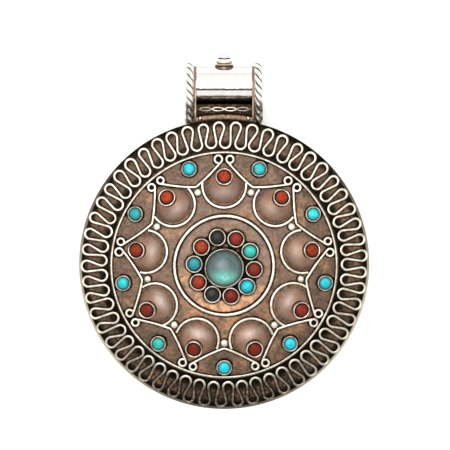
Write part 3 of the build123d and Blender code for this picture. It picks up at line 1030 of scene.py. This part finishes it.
# %% Set the ring of small stones
CORAL_WARM = (0.33, 0.03, 0.008)
JET = (0.007, 0.010, 0.009)
UPRIGHT = (0, 0, 1)
BEAD_HALF = 1.87 * MM
BEAD_TOP = 1.4 * MM
BEAD_CROWN = 0.6 * MM
BEAD_GAP = 0.1 * MM
RING_START = -13
RING_ORBIT = 6.62 * MM
RING_SHIFT = -0.2 * MM
ring_stones = (
    (RING_DARK, JET), (RING_CORAL, CORAL_WARM), (RING_BLUE, TURQUOISE_GREEN), (RING_CORAL, CORAL_DEEP),
    (RING_BLUE, TURQUOISE_BLUE), (RING_CORAL, CORAL_DEEP), (RING_DARK, JET), (RING_CORAL, CORAL_RED),
    (RING_BLUE, TURQUOISE_TEAL), (RING_CORAL, CORAL_RED),
)

ring_places = []
for number, (node, tint) in enumerate(ring_stones):
    point = at(RING_ORBIT, RING_START + number * 360 / len(ring_stones)) + (0, RING_SHIFT)
    ring_places.append((seat(point, UPRIGHT), node, tint))
set_stones(ring_places, "medallion_bezels", BEAD_HALF, BEAD_TOP, BEAD_CROWN, BEAD_GAP)
print(f"{len(ring_stones)} stones round the middle")

# %% [markdown]
# The middle stone is a large cabochon. It looks half clear: light gathers at its lower edge, and a pale
# reflection of the room lies above. A glass shader could do that, but it would need the metal under the
# stone, and it would change with every light. So the glow and the reflection are painted as two soft spots of
# colour on the vertices.

# %% Set the large stone
CENTRE_SHIFT = -0.5 * MM
CENTRE_HALF = 4.3 * MM
CENTRE_TOP = 1.7 * MM
CENTRE_CROWN = 2.2 * MM
CENTRE_EDGE_POWER = 7
CENTRE_SIDES = 72
CENTRE_WOBBLE = 0.004
CENTRE_RINGS = 24
# Teal of the stone, with the colours of its painted reflection and its painted glow.
SLATE = np.array((0.07, 0.115, 0.115))
LAVENDER = np.array((0.21, 0.215, 0.235))
AQUA_GLOW = np.array((0.21, 0.66, 0.56))
GLOW_PLACE, GLOW_HALF = (0, -1.9), (2.5, 1.35)
CLOUD_PLACE, CLOUD_HALF = (-0.7, 1.0), (1.2, 1.2)

centre = seat((0, CENTRE_SHIFT), UPRIGHT)
profile = bezel_profile(CENTRE_HALF, -SEAT_DEPTH, CENTRE_TOP)
collar = turned(centre, profile, CENTRE_SIDES, CENTRE_WOBBLE, 1.0, True)
foot = height_values(centre, collar, BEZEL_FOOT, CENTRE_TOP)
make_piece("centre_bezel", [collar], bezel_silver, foot=[foot])
stone_half = CENTRE_HALF - BEZEL_WALL
profile = dome_profile(stone_half, 0, CENTRE_TOP - STONE_SINK, CENTRE_CROWN, CENTRE_RINGS)
big = turned(centre, profile, CENTRE_SIDES)
flat = (big[0][:, :2] - (0, CENTRE_SHIFT)) / MM
# A painted glow at the lower edge, and a painted reflection of the room above it.
glow = soft_spot(flat, GLOW_PLACE, GLOW_HALF)[:, None]
cloud = soft_spot(flat, CLOUD_PLACE, CLOUD_HALF)[:, None]
tint = (SLATE * (1 - cloud) + LAVENDER * cloud) * (1 - glow) + AQUA_GLOW * glow
# Painted shade towards the edge of the middle stone.
edge = (radius_of(flat) * MM / stone_half) ** CENTRE_EDGE_POWER
tint = np.column_stack([tint, np.ones(len(tint))])
make_piece("centre_stone", [big], teal_stone, sharp=60, tint=[tint], foot=[edge])
note_crevice([(*at(CENTRE_HALF, a) + (0, CENTRE_SHIFT), medallion_top) for a in range(0, 360, 6)], 0)
print("the middle stone is set")

# %% [markdown]
# ## Petals and granules
# A petal is a low dome pressed up from the sheet. Half a ball would be too steep: its profile falls gently
# from the top and runs out flat at the skirt. The petals get their pieces only after the granules, when it
# is known how near each of their points lies to a wire.

# %% Raise the petals
PETAL_RISE = 1.3 * MM
PETAL_SINK = 0.04 * MM
PETAL_ROOT = -0.3 * MM
PETAL_RINGS = 20
PETAL_SIDES = 72
PETAL_POWER = 1.25
PETAL_TIP = 0.01
DOME_PHASES = (0, 6)
petal_skirt = petal_half + 0.2 * MM

petals = []
for number in range(PETALS):
    profile = [(petal_skirt, PETAL_ROOT)]
    for share in np.linspace(1, PETAL_TIP, PETAL_RINGS):
        profile.append((petal_skirt * share, PETAL_RISE * (1 - share**2) ** PETAL_POWER - PETAL_SINK))
    axes = seat(at(petal_orbit, number * STEP))
    petals.append(turned(axes, profile, PETAL_SIDES, STONE_WOBBLE, hand.uniform(*DOME_PHASES)))
print(f"{len(petals)} petals raised")

# %% [markdown]
# A granule is a ball of silver, melted round and soldered below the point of each chevron. Solder draws up
# round its foot and its top is worn, so the profile is wider and lower than that of a true ball.

# %% Solder the granules
GRANULE_SPREAD = (0.94, 1.04)
GRANULE_FROM = -1.0
GRANULE_RINGS = 14
GRANULE_SIDES = 28
GRANULE_WOBBLE = 0.01
GRANULE_FULLNESS = 0.7
GRANULE_MIDDLE, GRANULE_RISE = 0.82, 0.6
GRANULE_DARK = 1.5
GRANULE_CREVICE = 0.8

balls, feet = [], []
for number in range(PETALS):
    axes = seat(at(granule_orbit, (number + 0.5) * STEP))
    size = GRANULE_HALF * hand.uniform(*GRANULE_SPREAD)
    profile = []
    for angle in np.linspace(GRANULE_FROM, math.pi / 2, GRANULE_RINGS):
        radius = max(size * math.cos(angle) ** GRANULE_FULLNESS, TIP * size)
        profile.append((radius, size * (GRANULE_MIDDLE + GRANULE_RISE * math.sin(angle))))
    ball = turned(axes, profile, GRANULE_SIDES, GRANULE_WOBBLE, hand.uniform(*DOME_PHASES))
    balls.append(ball)
    # Black patina and painted shade low on the granule.
    feet.append(height_values(axes, ball, 0, GRANULE_DARK * GRANULE_HALF))
    note_crevice([axes[0]], GRANULE_HALF * GRANULE_CREVICE)
make_piece("granules", balls, wire_silver, sharp=70, foot=feet)
print(f"{PETALS} granules")

# %% [markdown]
# ## Soot and shade
# Soot stays where no cloth reaches, and shade falls in the same narrow places, so the dark there is soot and
# painted shade. It could be painted by hand, but there are thousands of narrow places, so it is measured: for
# each point of the plate and the petals a `kdtree` finds the wires and settings near it. The nearer they are,
# and the more they crowd together, the more soot and painted shade the point gets.

# %% Find the crevices
EDGE_START = 0.05 * MM
EDGE_REACH = 0.5 * MM
CROWD_REACH = 1.5 * MM
CROWD_RANGE = (1.2, 2.9)

crevices = kdtree.KDTree(len(crevice_points))
for index, (point, _) in enumerate(crevice_points):
    crevices.insert(point, index)
crevices.balance()


def sootiness(points):
    """From 0 in the open to 1 beside a wire or where wires crowd together, for each point."""
    values = []
    for point in points:
        near = crevices.find_range(point, CROWD_REACH)
        gap = min((distance - crevice_points[index][1] for _, index, distance in near), default=CROWD_REACH)
        crowd = sum((1 - distance / CROWD_REACH) ** 2 for _, _, distance in near)
        edge = math.exp(-max(gap - EDGE_START, 0) / EDGE_REACH)
        values.append(max(edge, np.interp(crowd, CROWD_RANGE, (0, 1))))
    return np.array(values)


print(f"{len(crevice_points)} crevice points noted")

# %% [markdown]
# A petal gets a painted highlight in a streak on the half that its arc of wire surrounds, weakest on the
# petals between the bail and the right-hand side. It is painted darker on its skirt and on its outer half, as
# shade, the outer half in the shade of its coral.
# The values are worked out along the petal's own two directions, outwards and aside, so one rule serves all
# nine.

# %% Finish the petals
STREAK_PLACE = (-1.5 * MM, 0)
STREAK_HALF = (0.9 * MM, 2.2 * MM)
STREAK_SHINE = 0.4
STREAK_FALL = 0.14
PETAL_SOOT = 0.8
SKIRT_SOOT = 0.5
SKIRT_POWER = 2.5
OUTER_SOOT = 0.6

for number, dome in enumerate(petals):
    x, y = at(1, number * STEP)
    offset = (dome[0][:, :2] - at(petal_orbit, number * STEP)) @ np.array(((x, y), (y, -x)))
    # The painted highlight is weakest on the petals towards the bail and to its right.
    dull_side = (x + y) / math.sqrt(2)
    rub = (STREAK_SHINE - STREAK_FALL * dull_side) * soft_spot(offset, STREAK_PLACE, STREAK_HALF)
    # Painted shade on the skirt of the petal and on its outer half, beside the coral.
    skirt = SKIRT_SOOT * np.clip(radius_of(offset) / petal_half, 0, 1) ** SKIRT_POWER
    outer_half = OUTER_SOOT * np.clip(offset[:, 0] / petal_half, 0, 1)
    soot = np.maximum(PETAL_SOOT * sootiness(dome[0]), np.maximum(skirt, outer_half))
    make_piece(f"petal_dome_{number + 1}", [dome], petal_copper, sharp=70, soot=[soot], rub=[rub])
print(f"{len(petals)} petals finished")

# %% [markdown]
# ## Front plate
# The plate is a round sheet, beaten into slopes. A subdivided plane would have its corners in the wrong
# places, so it is a fine polar grid: rings of points below, over the rounded rim and back to the middle.
# The grid has to be fine, because soot is stored on its points.

# %% Beat the front plate
SPOKES = 600
RING_STEP = 0.26 * MM
UNDER_RINGS = 16
UNDER_HOLE, TOP_HOLE = 0.4 * MM, 0.3 * MM
RIM_RINGS = 9


def plate_profile():
    """Rings of the plate as (radius, height): the underside, the rounded rim, then the top."""
    edge = rim_radius - SHEET / 2
    top_rings = round(edge / RING_STEP)
    under = [(r, float(front_height(r)) - SHEET) for r in np.linspace(UNDER_HOLE, edge, UNDER_RINGS)]
    top = [(r, float(front_height(r))) for r in np.linspace(edge, TOP_HOLE, top_rings)]
    return under + half_round(edge, rim_top - SHEET / 2, SHEET / 2, RIM_RINGS) + top


world_axes = (np.zeros(3), np.eye(3))
plate = turned(world_axes, plate_profile(), SPOKES)
print(f"front plate of {len(plate[0])} points")

# %% [markdown]
# The border keeps more soot and painted shade than the field, most of all beside the star and the rim, and
# the painted shade makes it a little darker away from the bail and lighter beside it. At the lower edge of
# the medallion the copper shows a warm orange as a painted pool of light, and the rim is painted bright on
# the side away from the bail, as worn metal and a painted highlight. All this could be painted in an image,
# but curves over the radius and the azimuth are exact and can be tuned one by one. Where two of them meet,
# the darker one wins.

# %% Finish the front plate
BORDER_RADII = [field_radius + gap * MM for gap in (-0.2, 0.2, 1.3, 2.8)]
BORDER_RADII += [rim_radius - gap * MM for gap in (2.2, 1.0)]
BORDER_SOOT = (0, 0.95, 0.9, 0.48, 0.48, 0.95)
BORDER_FROM = 0.4
# Painted shade on the border: darker away from the bail, lighter beside it.
GRIME_AZIMUTHS = (0, 60, 120, 165, 240, 280, 330, 360)
GRIME = (-0.09, 0.0, 0.04, 0.1, 0.08, -0.02, -0.1, -0.09)
FIELD_RADII = (medallion_radius, medallion_radius + MM, petal_orbit + 3 * MM, field_radius)
FIELD_SOOT = (0, 0.36, 0.42, 0.5)
# A painted pool of light at the lower edge of the medallion.
WARM_PLACE = (0, -9 * MM)
WARM_HALF = 7 * MM
WARM_SPOT = 1.05
WARM_SIDE = 0.3
WARM_LEAN = 0.6
# The rim's bright line is worn metal and a painted highlight, on the side away from the bail.
RUBBED_EDGE = 0.62 * MM
RUBBED_FADE = 0.15 * MM
RUBBED_FROM = 0.7
LOWEST, LOWEST_RUB = (-1, -0.6), (0.2, 1)

radii, azimuths = radius_of(plate[0]), azimuth_of(plate[0])
across, along = plate[0][:, 0] / rim_radius, plate[0][:, 1] / rim_radius
border = np.interp(radii, BORDER_RADII, BORDER_SOOT)
# The border with its painted shade round the box.
grimy = np.clip(border + np.interp(azimuths, GRIME_AZIMUTHS, GRIME), 0, 1)
border = np.where(border > BORDER_FROM, grimy, border)
field = np.interp(radii, FIELD_RADII, FIELD_SOOT)
# Soot and painted shade beside the wires, in the border and in the field.
soot = np.maximum(sootiness(plate[0]), np.maximum(border, field))
# A painted pool of light below the middle, and a warmer tone across the plate.
warm = WARM_SPOT * soft_spot(plate[0][:, :2], WARM_PLACE, WARM_HALF)
warm += WARM_SIDE * np.clip(WARM_LEAN * across - along, -1, 1)
# Painted highlight and wear along the rim, strongest away from the bail.
lower = np.clip(RUBBED_FROM - along, 0, 1) * np.interp(along, LOWEST, LOWEST_RUB)
rub = np.clip((radii - rim_radius + RUBBED_EDGE) / RUBBED_FADE, 0, 1) * lower
make_piece("front_plate", [plate], front_copper, soot=[soot], rub=[rub], warm=[warm])
print(f"front plate: soot from {soot.min():.2f} to {soot.max():.2f}")

# %% [markdown]
# ## Case
# Behind the front stand two bands: the wall of the lid, and the wall of the back, which slips inside it.
# Two cylinders with a bevel would do, but as turned shapes the bands can have extra rings near their edges,
# which carry the dark line where grime gathers.

# %% Turn the walls
CASE_SIDES = 240
BAND_WOBBLE, BAND_PHASE = 0.0006, 0.7
BAND_SOFT = 0.12 * MM
EDGE_GRIME = 0.9 * MM
EDGE_DARK = 0.85


def band(name, slot, body):
    """A band of sheet with soft edges, as large as its CAD node."""
    low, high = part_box(name)
    outer, inner = high.x, high.x - SHEET
    levels = (low.z + BAND_SOFT, low.z + EDGE_GRIME, high.z - EDGE_GRIME, high.z - BAND_SOFT)
    profile = [(outer, z) for z in levels] + [(outer - BAND_SOFT, high.z), (inner + BAND_SOFT, high.z)]
    profile += [(inner, z) for z in reversed(levels)]
    profile += [(inner + BAND_SOFT, low.z), (outer - BAND_SOFT, low.z)]
    shape = turned(world_axes, profile, CASE_SIDES, BAND_WOBBLE, BAND_PHASE, True)
    heights = shape[0][:, 2]
    from_edge = np.minimum(heights - low.z, high.z - heights)
    foot = EDGE_DARK * np.clip(1 - from_edge / EDGE_GRIME, 0, 1)
    make_piece(name, [shape], case_silver, slot, body, foot=[foot])


band("lid_wall", "side_silver", "lid")
band("back_wall", "back_metal", "base")
print("two walls")

# %% [markdown]
# The back is a plain round sheet with a rounded edge. It stays on the table with the inner wall when the lid
# is pulled off, so these two ride on the base. A disc with one large face would do for the flat parts, but
# rings of small faces shade more evenly.

# %% Turn the back
BACK_RINGS = 24
BACK_HOLE = 0.4 * MM
BACK_EDGE_RINGS = 7
back_low, back_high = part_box("back_plate")
back_edge = (back_high.z - back_low.z) / 2
back_radius = back_high.x - back_edge
back_radii = np.linspace(BACK_HOLE, back_radius, BACK_RINGS)
profile = [(r, back_low.z) for r in back_radii]
profile += half_round(back_radius, back_low.z + back_edge, back_edge, BACK_EDGE_RINGS)
profile += [(r, back_high.z) for r in back_radii[::-1]]
back = turned(world_axes, profile, CASE_SIDES)
clean = np.zeros(len(back[0]))
make_piece("back_plate", [back], case_silver, "back_metal", "base", foot=[clean])
print(f"a back of {2 * back_high.x / MM:.1f} mm")

# %% [markdown]
# ## Bail
# The bail holds the cord: a polished tube between two cheek plates, a neck and a curved foot below it, and a
# twisted wire round each cheek. The tube is a turned shape on a level axis. It narrows a little in the
# middle, because a polished cylinder that is perfectly straight looks like plastic. It is brown along the
# side away from the box, and painted black where it faces the neck, as a painted reflection of the neck.

# %% Turn the cord tube
TUBE_WALL = 0.8 * MM
TUBE_SOFT = 0.1 * MM
TUBE_WAIST = 0.03 * MM
TUBE_RINGS = 24
TUBE_SIDES = 128
FAR_LEVELS, FAR_BROWN = (0.945, 0.965), 0.9
NECK_LEVELS, NECK_BLACK = (0.69, 0.74), 0.77
tube_low, tube_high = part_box("bail_tube")
tube_y, tube_z = (tube_low.y + tube_high.y) / 2, (tube_low.z + tube_high.z) / 2
tube_radius = (tube_high.z - tube_low.z) / 2
tube_half = tube_high.x
bore = tube_radius - TUBE_WALL

cross_axes = (np.array((0, tube_y, tube_z)), np.array(((0, 1, 0), (0, 0, 1), (1, 0, 0)), float))
profile = [(tube_radius - TUBE_SOFT, -tube_half)]
for x in np.linspace(-tube_half + TUBE_SOFT, tube_half - TUBE_SOFT, TUBE_RINGS):
    profile.append((tube_radius - TUBE_WAIST * math.cos(x / tube_half * 2), x))
profile += [(tube_radius - TUBE_SOFT, tube_half), (bore, tube_half), (bore, -tube_half)]
tube = turned(cross_axes, profile, TUBE_SIDES, closed=True)
level = (tube[0][:, 1] - tube_y) / tube_radius
far_line = np.interp(level, FAR_LEVELS, (0, FAR_BROWN))
# Painted dark reflection of the neck, on the lower side of the tube.
crevice = np.interp(-level, NECK_LEVELS, (0, NECK_BLACK))
make_piece("bail_tube", [tube], tube_silver, "bail_silver", foot=[crevice], tarnish=[far_line])
print(f"tube of {2 * tube_radius / MM:.1f} mm with a bore of {2 * bore / MM:.1f} mm")

# %% [markdown]
# A cheek is a plate with a round end, a square end against the lid and a hole for the cord. The hole could be
# cut by a boolean, which leaves long thin faces. Here the outline is a reach from the tube's axis in each
# direction, so the hole and the edge have the same number of points and `loft` can join them.

# %% Cut the cheek plates
CHEEK_GAP = 0.05 * MM
CHEEK_BEVEL = 0.1 * MM
CHEEK_SHOULDER = 0.7
CHEEK_POINTS = 120
CHEEK_SOOT_FROM = 34.5 * MM
CHEEK_SOOT_FADE = 4 * MM
CHEEK_SOOT = 0.6
TINY = 1e-6
lid_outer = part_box("lid_wall")[1].x
along, rise = np.cos(full_turn(CHEEK_POINTS)), np.sin(full_turn(CHEEK_POINTS))


def cheek_ring(x, reach):
    """Points round the tube's axis at one x, each at its own reach."""
    return np.column_stack([np.full(len(along), x), tube_y + along * reach, tube_z + rise * reach])


for name in ("bail_cheek_right", "bail_cheek_left"):
    low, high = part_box(name)
    edge = (high.z - low.z) / 2
    x_in, x_out = sorted((low.x, high.x), key=abs)
    back_reach = tube_y - math.sqrt(lid_outer**2 - x_in**2) - CHEEK_GAP
    square = np.minimum(edge / np.maximum(abs(rise), TINY), back_reach / np.maximum(abs(along), TINY))
    outline = np.where(along < 0, square, edge)
    shoulder = x_in * (1 - CHEEK_SHOULDER) + x_out * CHEEK_SHOULDER
    rings = [cheek_ring(x_in, outline), cheek_ring(shoulder, outline)]
    rings += [cheek_ring(x_out, outline - CHEEK_BEVEL), cheek_ring(x_out, bore), cheek_ring(x_in, bore)]
    cheek = loft(np.array(rings), True)
    soot = np.clip((CHEEK_SOOT_FROM - cheek[0][:, 1]) / CHEEK_SOOT_FADE, 0, CHEEK_SOOT)
    make_piece(name, [cheek], bail_copper, soot=[soot])
print("two cheek plates")

# %% [markdown]
# A twisted wire is three strands that wind round one path. A bump on a plain wire would give the stripes but
# not the notched outline, so the strands are real. Each is painted black on the side that faces the others,
# as the shade between them, and all are brown at their foot, beside the lid.

# %% Twist the edging wires
STRANDS = 3
STRAND = 0.51 * MM
STRAND_SIDES = 12
WIND = 0.46 * MM
LAY = 4.95 * MM
FIRST_WIND = 0.9
ROPE_STEP = 0.16 * MM
ROPE_SQUEEZE = 0.02 * MM
ROPE_GAP = 0.12 * MM
ROPE_DARK_FROM = 36.6 * MM
ROPE_DARK_FADE = 1.7 * MM


def rope_path(x, orbit, start):
    """Centreline of an edging wire, with the direction that points away from the tube at each point."""
    straight = tube_y - start
    length = 2 * straight + math.pi * orbit
    points, outs, places = [], [], np.arange(0, length, ROPE_STEP)
    for s in places:
        turn = min(max((s - straight) / orbit, 0), math.pi)
        out = np.array((0, math.sin(turn), math.cos(turn)))
        behind = max(straight - s, s - length + straight, 0)
        points.append((x, tube_y - behind, tube_z) + orbit * out)
        outs.append(out)
    return np.array(points), np.array(outs), places


turn = full_turn(STRAND_SIDES)
for name, side in (("bail_rope_right", 1), ("bail_rope_left", -1)):
    low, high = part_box(name)
    rope_x = (low.x + high.x) / 2
    orbit = (high.z - low.z) / 2 - STRAND - WIND + ROPE_SQUEEZE
    start = math.sqrt(rim_radius**2 - rope_x**2) + ROPE_GAP
    points, outs, places = rope_path(rope_x, orbit, start)
    asides = np.cross(unit(np.gradient(points, axis=0)), outs)
    strands, feet, tarnish = [], [], []
    for first in full_turn(STRANDS):
        winding = first - 2 * math.pi * places / LAY + FIRST_WIND * side
        offset = outs * np.cos(winding)[:, None] + asides * np.sin(winding)[:, None]
        path = points + offset * WIND
        ahead = unit(np.gradient(path, axis=0))
        side_way = unit(np.cross(ahead, offset))
        out_way = np.cross(side_way, ahead)
        rings = path[:, None] + STRAND * (
            out_way[:, None] * np.cos(turn)[None, :, None] + side_way[:, None] * np.sin(turn)[None, :, None]
        )
        strands.append(loft(rings))
        # Painted shade on the side of each strand that faces the others.
        feet.append(np.broadcast_to(0.5 - 0.5 * np.cos(turn), rings.shape[:2]).ravel())
        near = np.clip((ROPE_DARK_FROM - path[:, 1]) / ROPE_DARK_FADE, 0, 1)
        tarnish.append(np.repeat(near, STRAND_SIDES))
    make_piece(name, strands, rope_silver, "bail_silver", foot=feet, tarnish=tarnish)
print("two twisted edging wires")

# %% [markdown]
# The foot is a strip bent to the curve of the lid, and the neck fills the space up to the tube. Bevelled
# boxes would not follow the curve, so both are rows of soft-cornered sections from one side of the bail to
# the other. They lie in the shade of the tube, which is painted on them as dark.

# %% Bend the foot and the neck
SIDE_GAP = 0.03 * MM
NECK_OVERLAP = 0.05 * MM
NECK_SOOT = 0.68
NECK_SOFT = 0.25 * MM
FOOT_SOFT = 0.3 * MM
FOOT_SOOT, FOOT_MOST = 0.48, 0.8
FOOT_FADE = 1.2 * MM
BAR_RINGS = 41
CORNER = 0.3


def across_bail(name, inner, outer, soft):
    """A bar across the bail, as deep as its CAD node; `inner` and `outer` give its y at each x."""
    box_low, box_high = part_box(name)
    low, high, half_width = box_low.z, box_high.z, box_high.x - SIDE_GAP
    rings = []
    for x in np.linspace(-half_width, half_width, BAR_RINGS):
        near, far, cut = inner(x), outer(x), CORNER * soft
        section = [
            (near, low), (far, low), (far, high - soft), (far - cut, high - cut),
            (far - soft, high), (near + soft, high), (near + cut, high - cut), (near, high - soft),
        ]
        rings.append([(x, y, z) for y, z in section])
    return loft(np.array(rings))


def curve(radius):
    """The y of a circle round the middle of the box, at each x."""
    return lambda x: math.sqrt(radius**2 - x * x)


foot_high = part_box("bail_foot")[1]
lid_curve, foot_curve = curve(lid_outer), curve(foot_high.y)
strip = across_bail("bail_foot", lambda x: lid_curve(x) + SIDE_GAP, foot_curve, FOOT_SOFT)
# Painted shade under the tube, darker further back.
soot = np.clip(FOOT_SOOT + (foot_high.z - strip[0][:, 2]) / FOOT_FADE, 0, FOOT_MOST)
make_piece("bail_foot", [strip], bail_copper, soot=[soot])

neck_far = tube_y - tube_radius + NECK_OVERLAP
neck = across_bail("bail_neck", lambda x: foot_curve(x) - NECK_OVERLAP, lambda x: neck_far, NECK_SOFT)
# Painted shade of the tube over the whole neck.
make_piece("bail_neck", [neck], bail_copper, soot=[np.full(len(neck[0]), NECK_SOOT)])
print("foot and neck bent")

# %% [markdown]
# Four lens-shaped loops of wire decorate the neck. An ellipse would be too round at its ends, so its width is
# drawn in there by a power. The outer two lie in the shade of the cheeks, and that shade is painted on them
# as a duller tone.

# %% Lay the eyes
EYES = 4
EYE_POINTS = 48
EYE_MARGIN = 0.1 * MM
EYE_POINTED = 0.35
EYE_WIDTH = 0.27 * MM
EYE_HEIGHT = 0.3 * MM
OUTER_EYE_DULL = 0.75
eye_low, eye_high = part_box("neck_eyes")
eye_length = (eye_high.x - eye_low.x) / EYES
eye_half = (eye_high.y - eye_low.y) / 2 - EYE_MARGIN
eye_y = (eye_low.y + eye_high.y) / 2

eyes, feet, tarnish = [], [], []
along, rise = np.cos(full_turn(EYE_POINTS)), np.sin(full_turn(EYE_POINTS))
for number in range(EYES):
    middle = (number - (EYES - 1) / 2) * eye_length
    line = np.column_stack([
        middle + (eye_length / 2 - EYE_MARGIN) * along,
        eye_y + eye_half * rise * abs(rise) ** EYE_POINTED,
        np.full(EYE_POINTS, eye_low.z + EYE_MARGIN),
    ])
    ups = np.tile((0.0, 0.0, 1.0), (EYE_POINTS, 1))
    shape, foot = wire_shape(line, ups, EYE_WIDTH, EYE_HEIGHT, loop=True)
    eyes.append(shape)
    feet.append(foot)
    # Painted shade on the outer two eyes.
    tarnish.append(np.full(len(foot), 0.0 if 0 < number < EYES - 1 else OUTER_EYE_DULL))
make_piece("neck_eyes", eyes, wire_silver, "bail_silver", foot=feet, tarnish=tarnish)
print(f"{EYES} eyes on the neck")

# %% [markdown]
# A granule sits on each front corner of the foot. These two are so small that a plain ball, cut off below,
# is enough.

# %% Solder the corner granules
CORNER_FROM = -0.8
CORNER_RINGS = 12
CORNER_SIDES = 24
CORNER_WOBBLE = 0.02
CORNER_MIDDLE = 0.75
CORNER_TIP = 0.01 * MM
CORNER_DARK = 1.6
ball_low, ball_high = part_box("foot_balls")
ball_half = (ball_high.y - ball_low.y) / 2

profile = []
for angle in np.linspace(CORNER_FROM, math.pi / 2, CORNER_RINGS):
    radius = max(ball_half * math.cos(angle), CORNER_TIP)
    profile.append((radius, ball_half * (CORNER_MIDDLE + math.sin(angle))))
balls, feet = [], []
for side in (1, -1):
    place = np.array((side * (ball_high.x - ball_half), ball_low.y + ball_half, ball_low.z))
    axes = (place, world_axes[1])
    ball = turned(axes, profile, CORNER_SIDES, CORNER_WOBBLE, side)
    balls.append(ball)
    # Black patina and painted shade low on the corner granule.
    feet.append(height_values(axes, ball, 0, CORNER_DARK * ball_half))
make_piece("foot_balls", balls, wire_silver, "bail_silver", sharp=70, foot=feet)
print(f"{len(balls)} corner granules")

# %% [markdown]
# ## Finial
# A small collar sits astride the tube and carries a ring of wire and a ball. All three share one axis that
# points away from the box, so they are turned on it. The collar's shoulder is painted bright, as worn metal
# and a painted highlight, and its seam is dark. Such lines need rings of their own in the profile, or the
# values would blur between far points.

# %% Turn the collar
COLLAR_SADDLE = 0.6 * MM
COLLAR_HOLE = 0.2 * MM
COLLAR_STEPS = ((0, 0.8), (0, 0.66), (0, 0.5), (0, 0.45), (0.1, 0.3), (0.35, 0.1), (0.6, 0))
SEAM_DEPTHS = (0.0, 0.12, 0.4, 0.5, 0.66, 0.8)
SEAM_SOOT = (0.4, 0.0, 0.0, 0.95, 0.95, 0.45)
SHOULDER_RUB = (0.3, 0.9, 0.9, 0.0, 0.0, 0.0)
FINIAL_SIDES = 64
up_axes = (np.array((0, 0, tube_z)), np.array(((0, 0, 1), (1, 0, 0), (0, 1, 0)), float))

collar_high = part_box("finial_collar")[1]
collar_half, collar_top = collar_high.x, collar_high.y
saddle = tube_y + tube_radius - COLLAR_SADDLE
profile = [(COLLAR_HOLE, saddle), (collar_half, saddle)]
profile += [(collar_half - inset * MM, collar_top - depth * MM) for inset, depth in COLLAR_STEPS]
shape = turned(up_axes, [*profile, (COLLAR_HOLE, collar_top)], FINIAL_SIDES)
depths = (collar_top - shape[0][:, 1]) / MM
# Painted highlight and wear on the shoulder, and a dark seam.
soot, rub = np.interp(depths, SEAM_DEPTHS, SEAM_SOOT), np.interp(depths, SEAM_DEPTHS, SHOULDER_RUB)
make_piece("finial_collar", [shape], bail_copper, soot=[soot], rub=[rub])
print(f"collar of {2 * collar_half / MM:.1f} mm")

# %% [markdown]
# The ring is a round wire, and the ball is drawn out a little along the axis. Both are polished like the
# tube, and black only in the seam between them. Blender has a torus and a ball ready made, but turned
# profiles take their sizes from the solids and keep all three pieces on the same axis.

# %% Turn the ring and the ball
RING_SIDES = 20
RING_WOBBLE, RING_TURN = 0.006, 0.4
BALL_RINGS = 26
BALL_TIP = 0.02 * MM
BALL_SEAM = 0.5 * MM
BALL_FADE = 0.35 * MM

ring_low, ring_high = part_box("finial_ring")
thick = (ring_high.y - ring_low.y) / 2
orbit = ring_high.x - thick
angles = full_turn(RING_SIDES)
profile = [(orbit + thick * math.cos(a), ring_low.y + thick * (1 + math.sin(a))) for a in angles]
shape = turned(up_axes, profile, FINIAL_SIDES, RING_WOBBLE, RING_TURN, True)
foot = np.clip((orbit - np.hypot(shape[0][:, 0], shape[0][:, 2] - tube_z)) / thick, 0, 1)
make_piece("finial_ring", [shape], tube_silver, "bail_silver", foot=[foot])

ball_low, ball_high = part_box("finial_ball")
wide, tall = ball_high.x, (ball_high.y - ball_low.y) / 2
angles = np.linspace(-math.pi / 2, math.pi / 2, BALL_RINGS)
profile = [(max(wide * math.cos(a), BALL_TIP), ball_low.y + tall * (1 + math.sin(a))) for a in angles]
shape = turned(up_axes, profile, FINIAL_SIDES)
foot = np.clip((ring_high.y + BALL_SEAM - shape[0][:, 1]) / BALL_FADE, 0, 1)
make_piece("finial_ball", [shape], tube_silver, "bail_silver", sharp=70, foot=[foot])
print("ring and ball of the finial")

# %% [markdown]
# ## Check the size
# The new pieces must fill the same box as the solids. That could be judged by eye, but a number is surer.
# The box of the solids is printed at the start, and here the offset of the new box's upper corner is printed.

# %% Compare the sizes and finish
visual_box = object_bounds()
growth = [b - a for a, b in zip(cad_box[1], visual_box[1])]
print("the upper corner of the new box lies off that of the solids by", [f"{g / MM:.2f} mm" for g in growth])
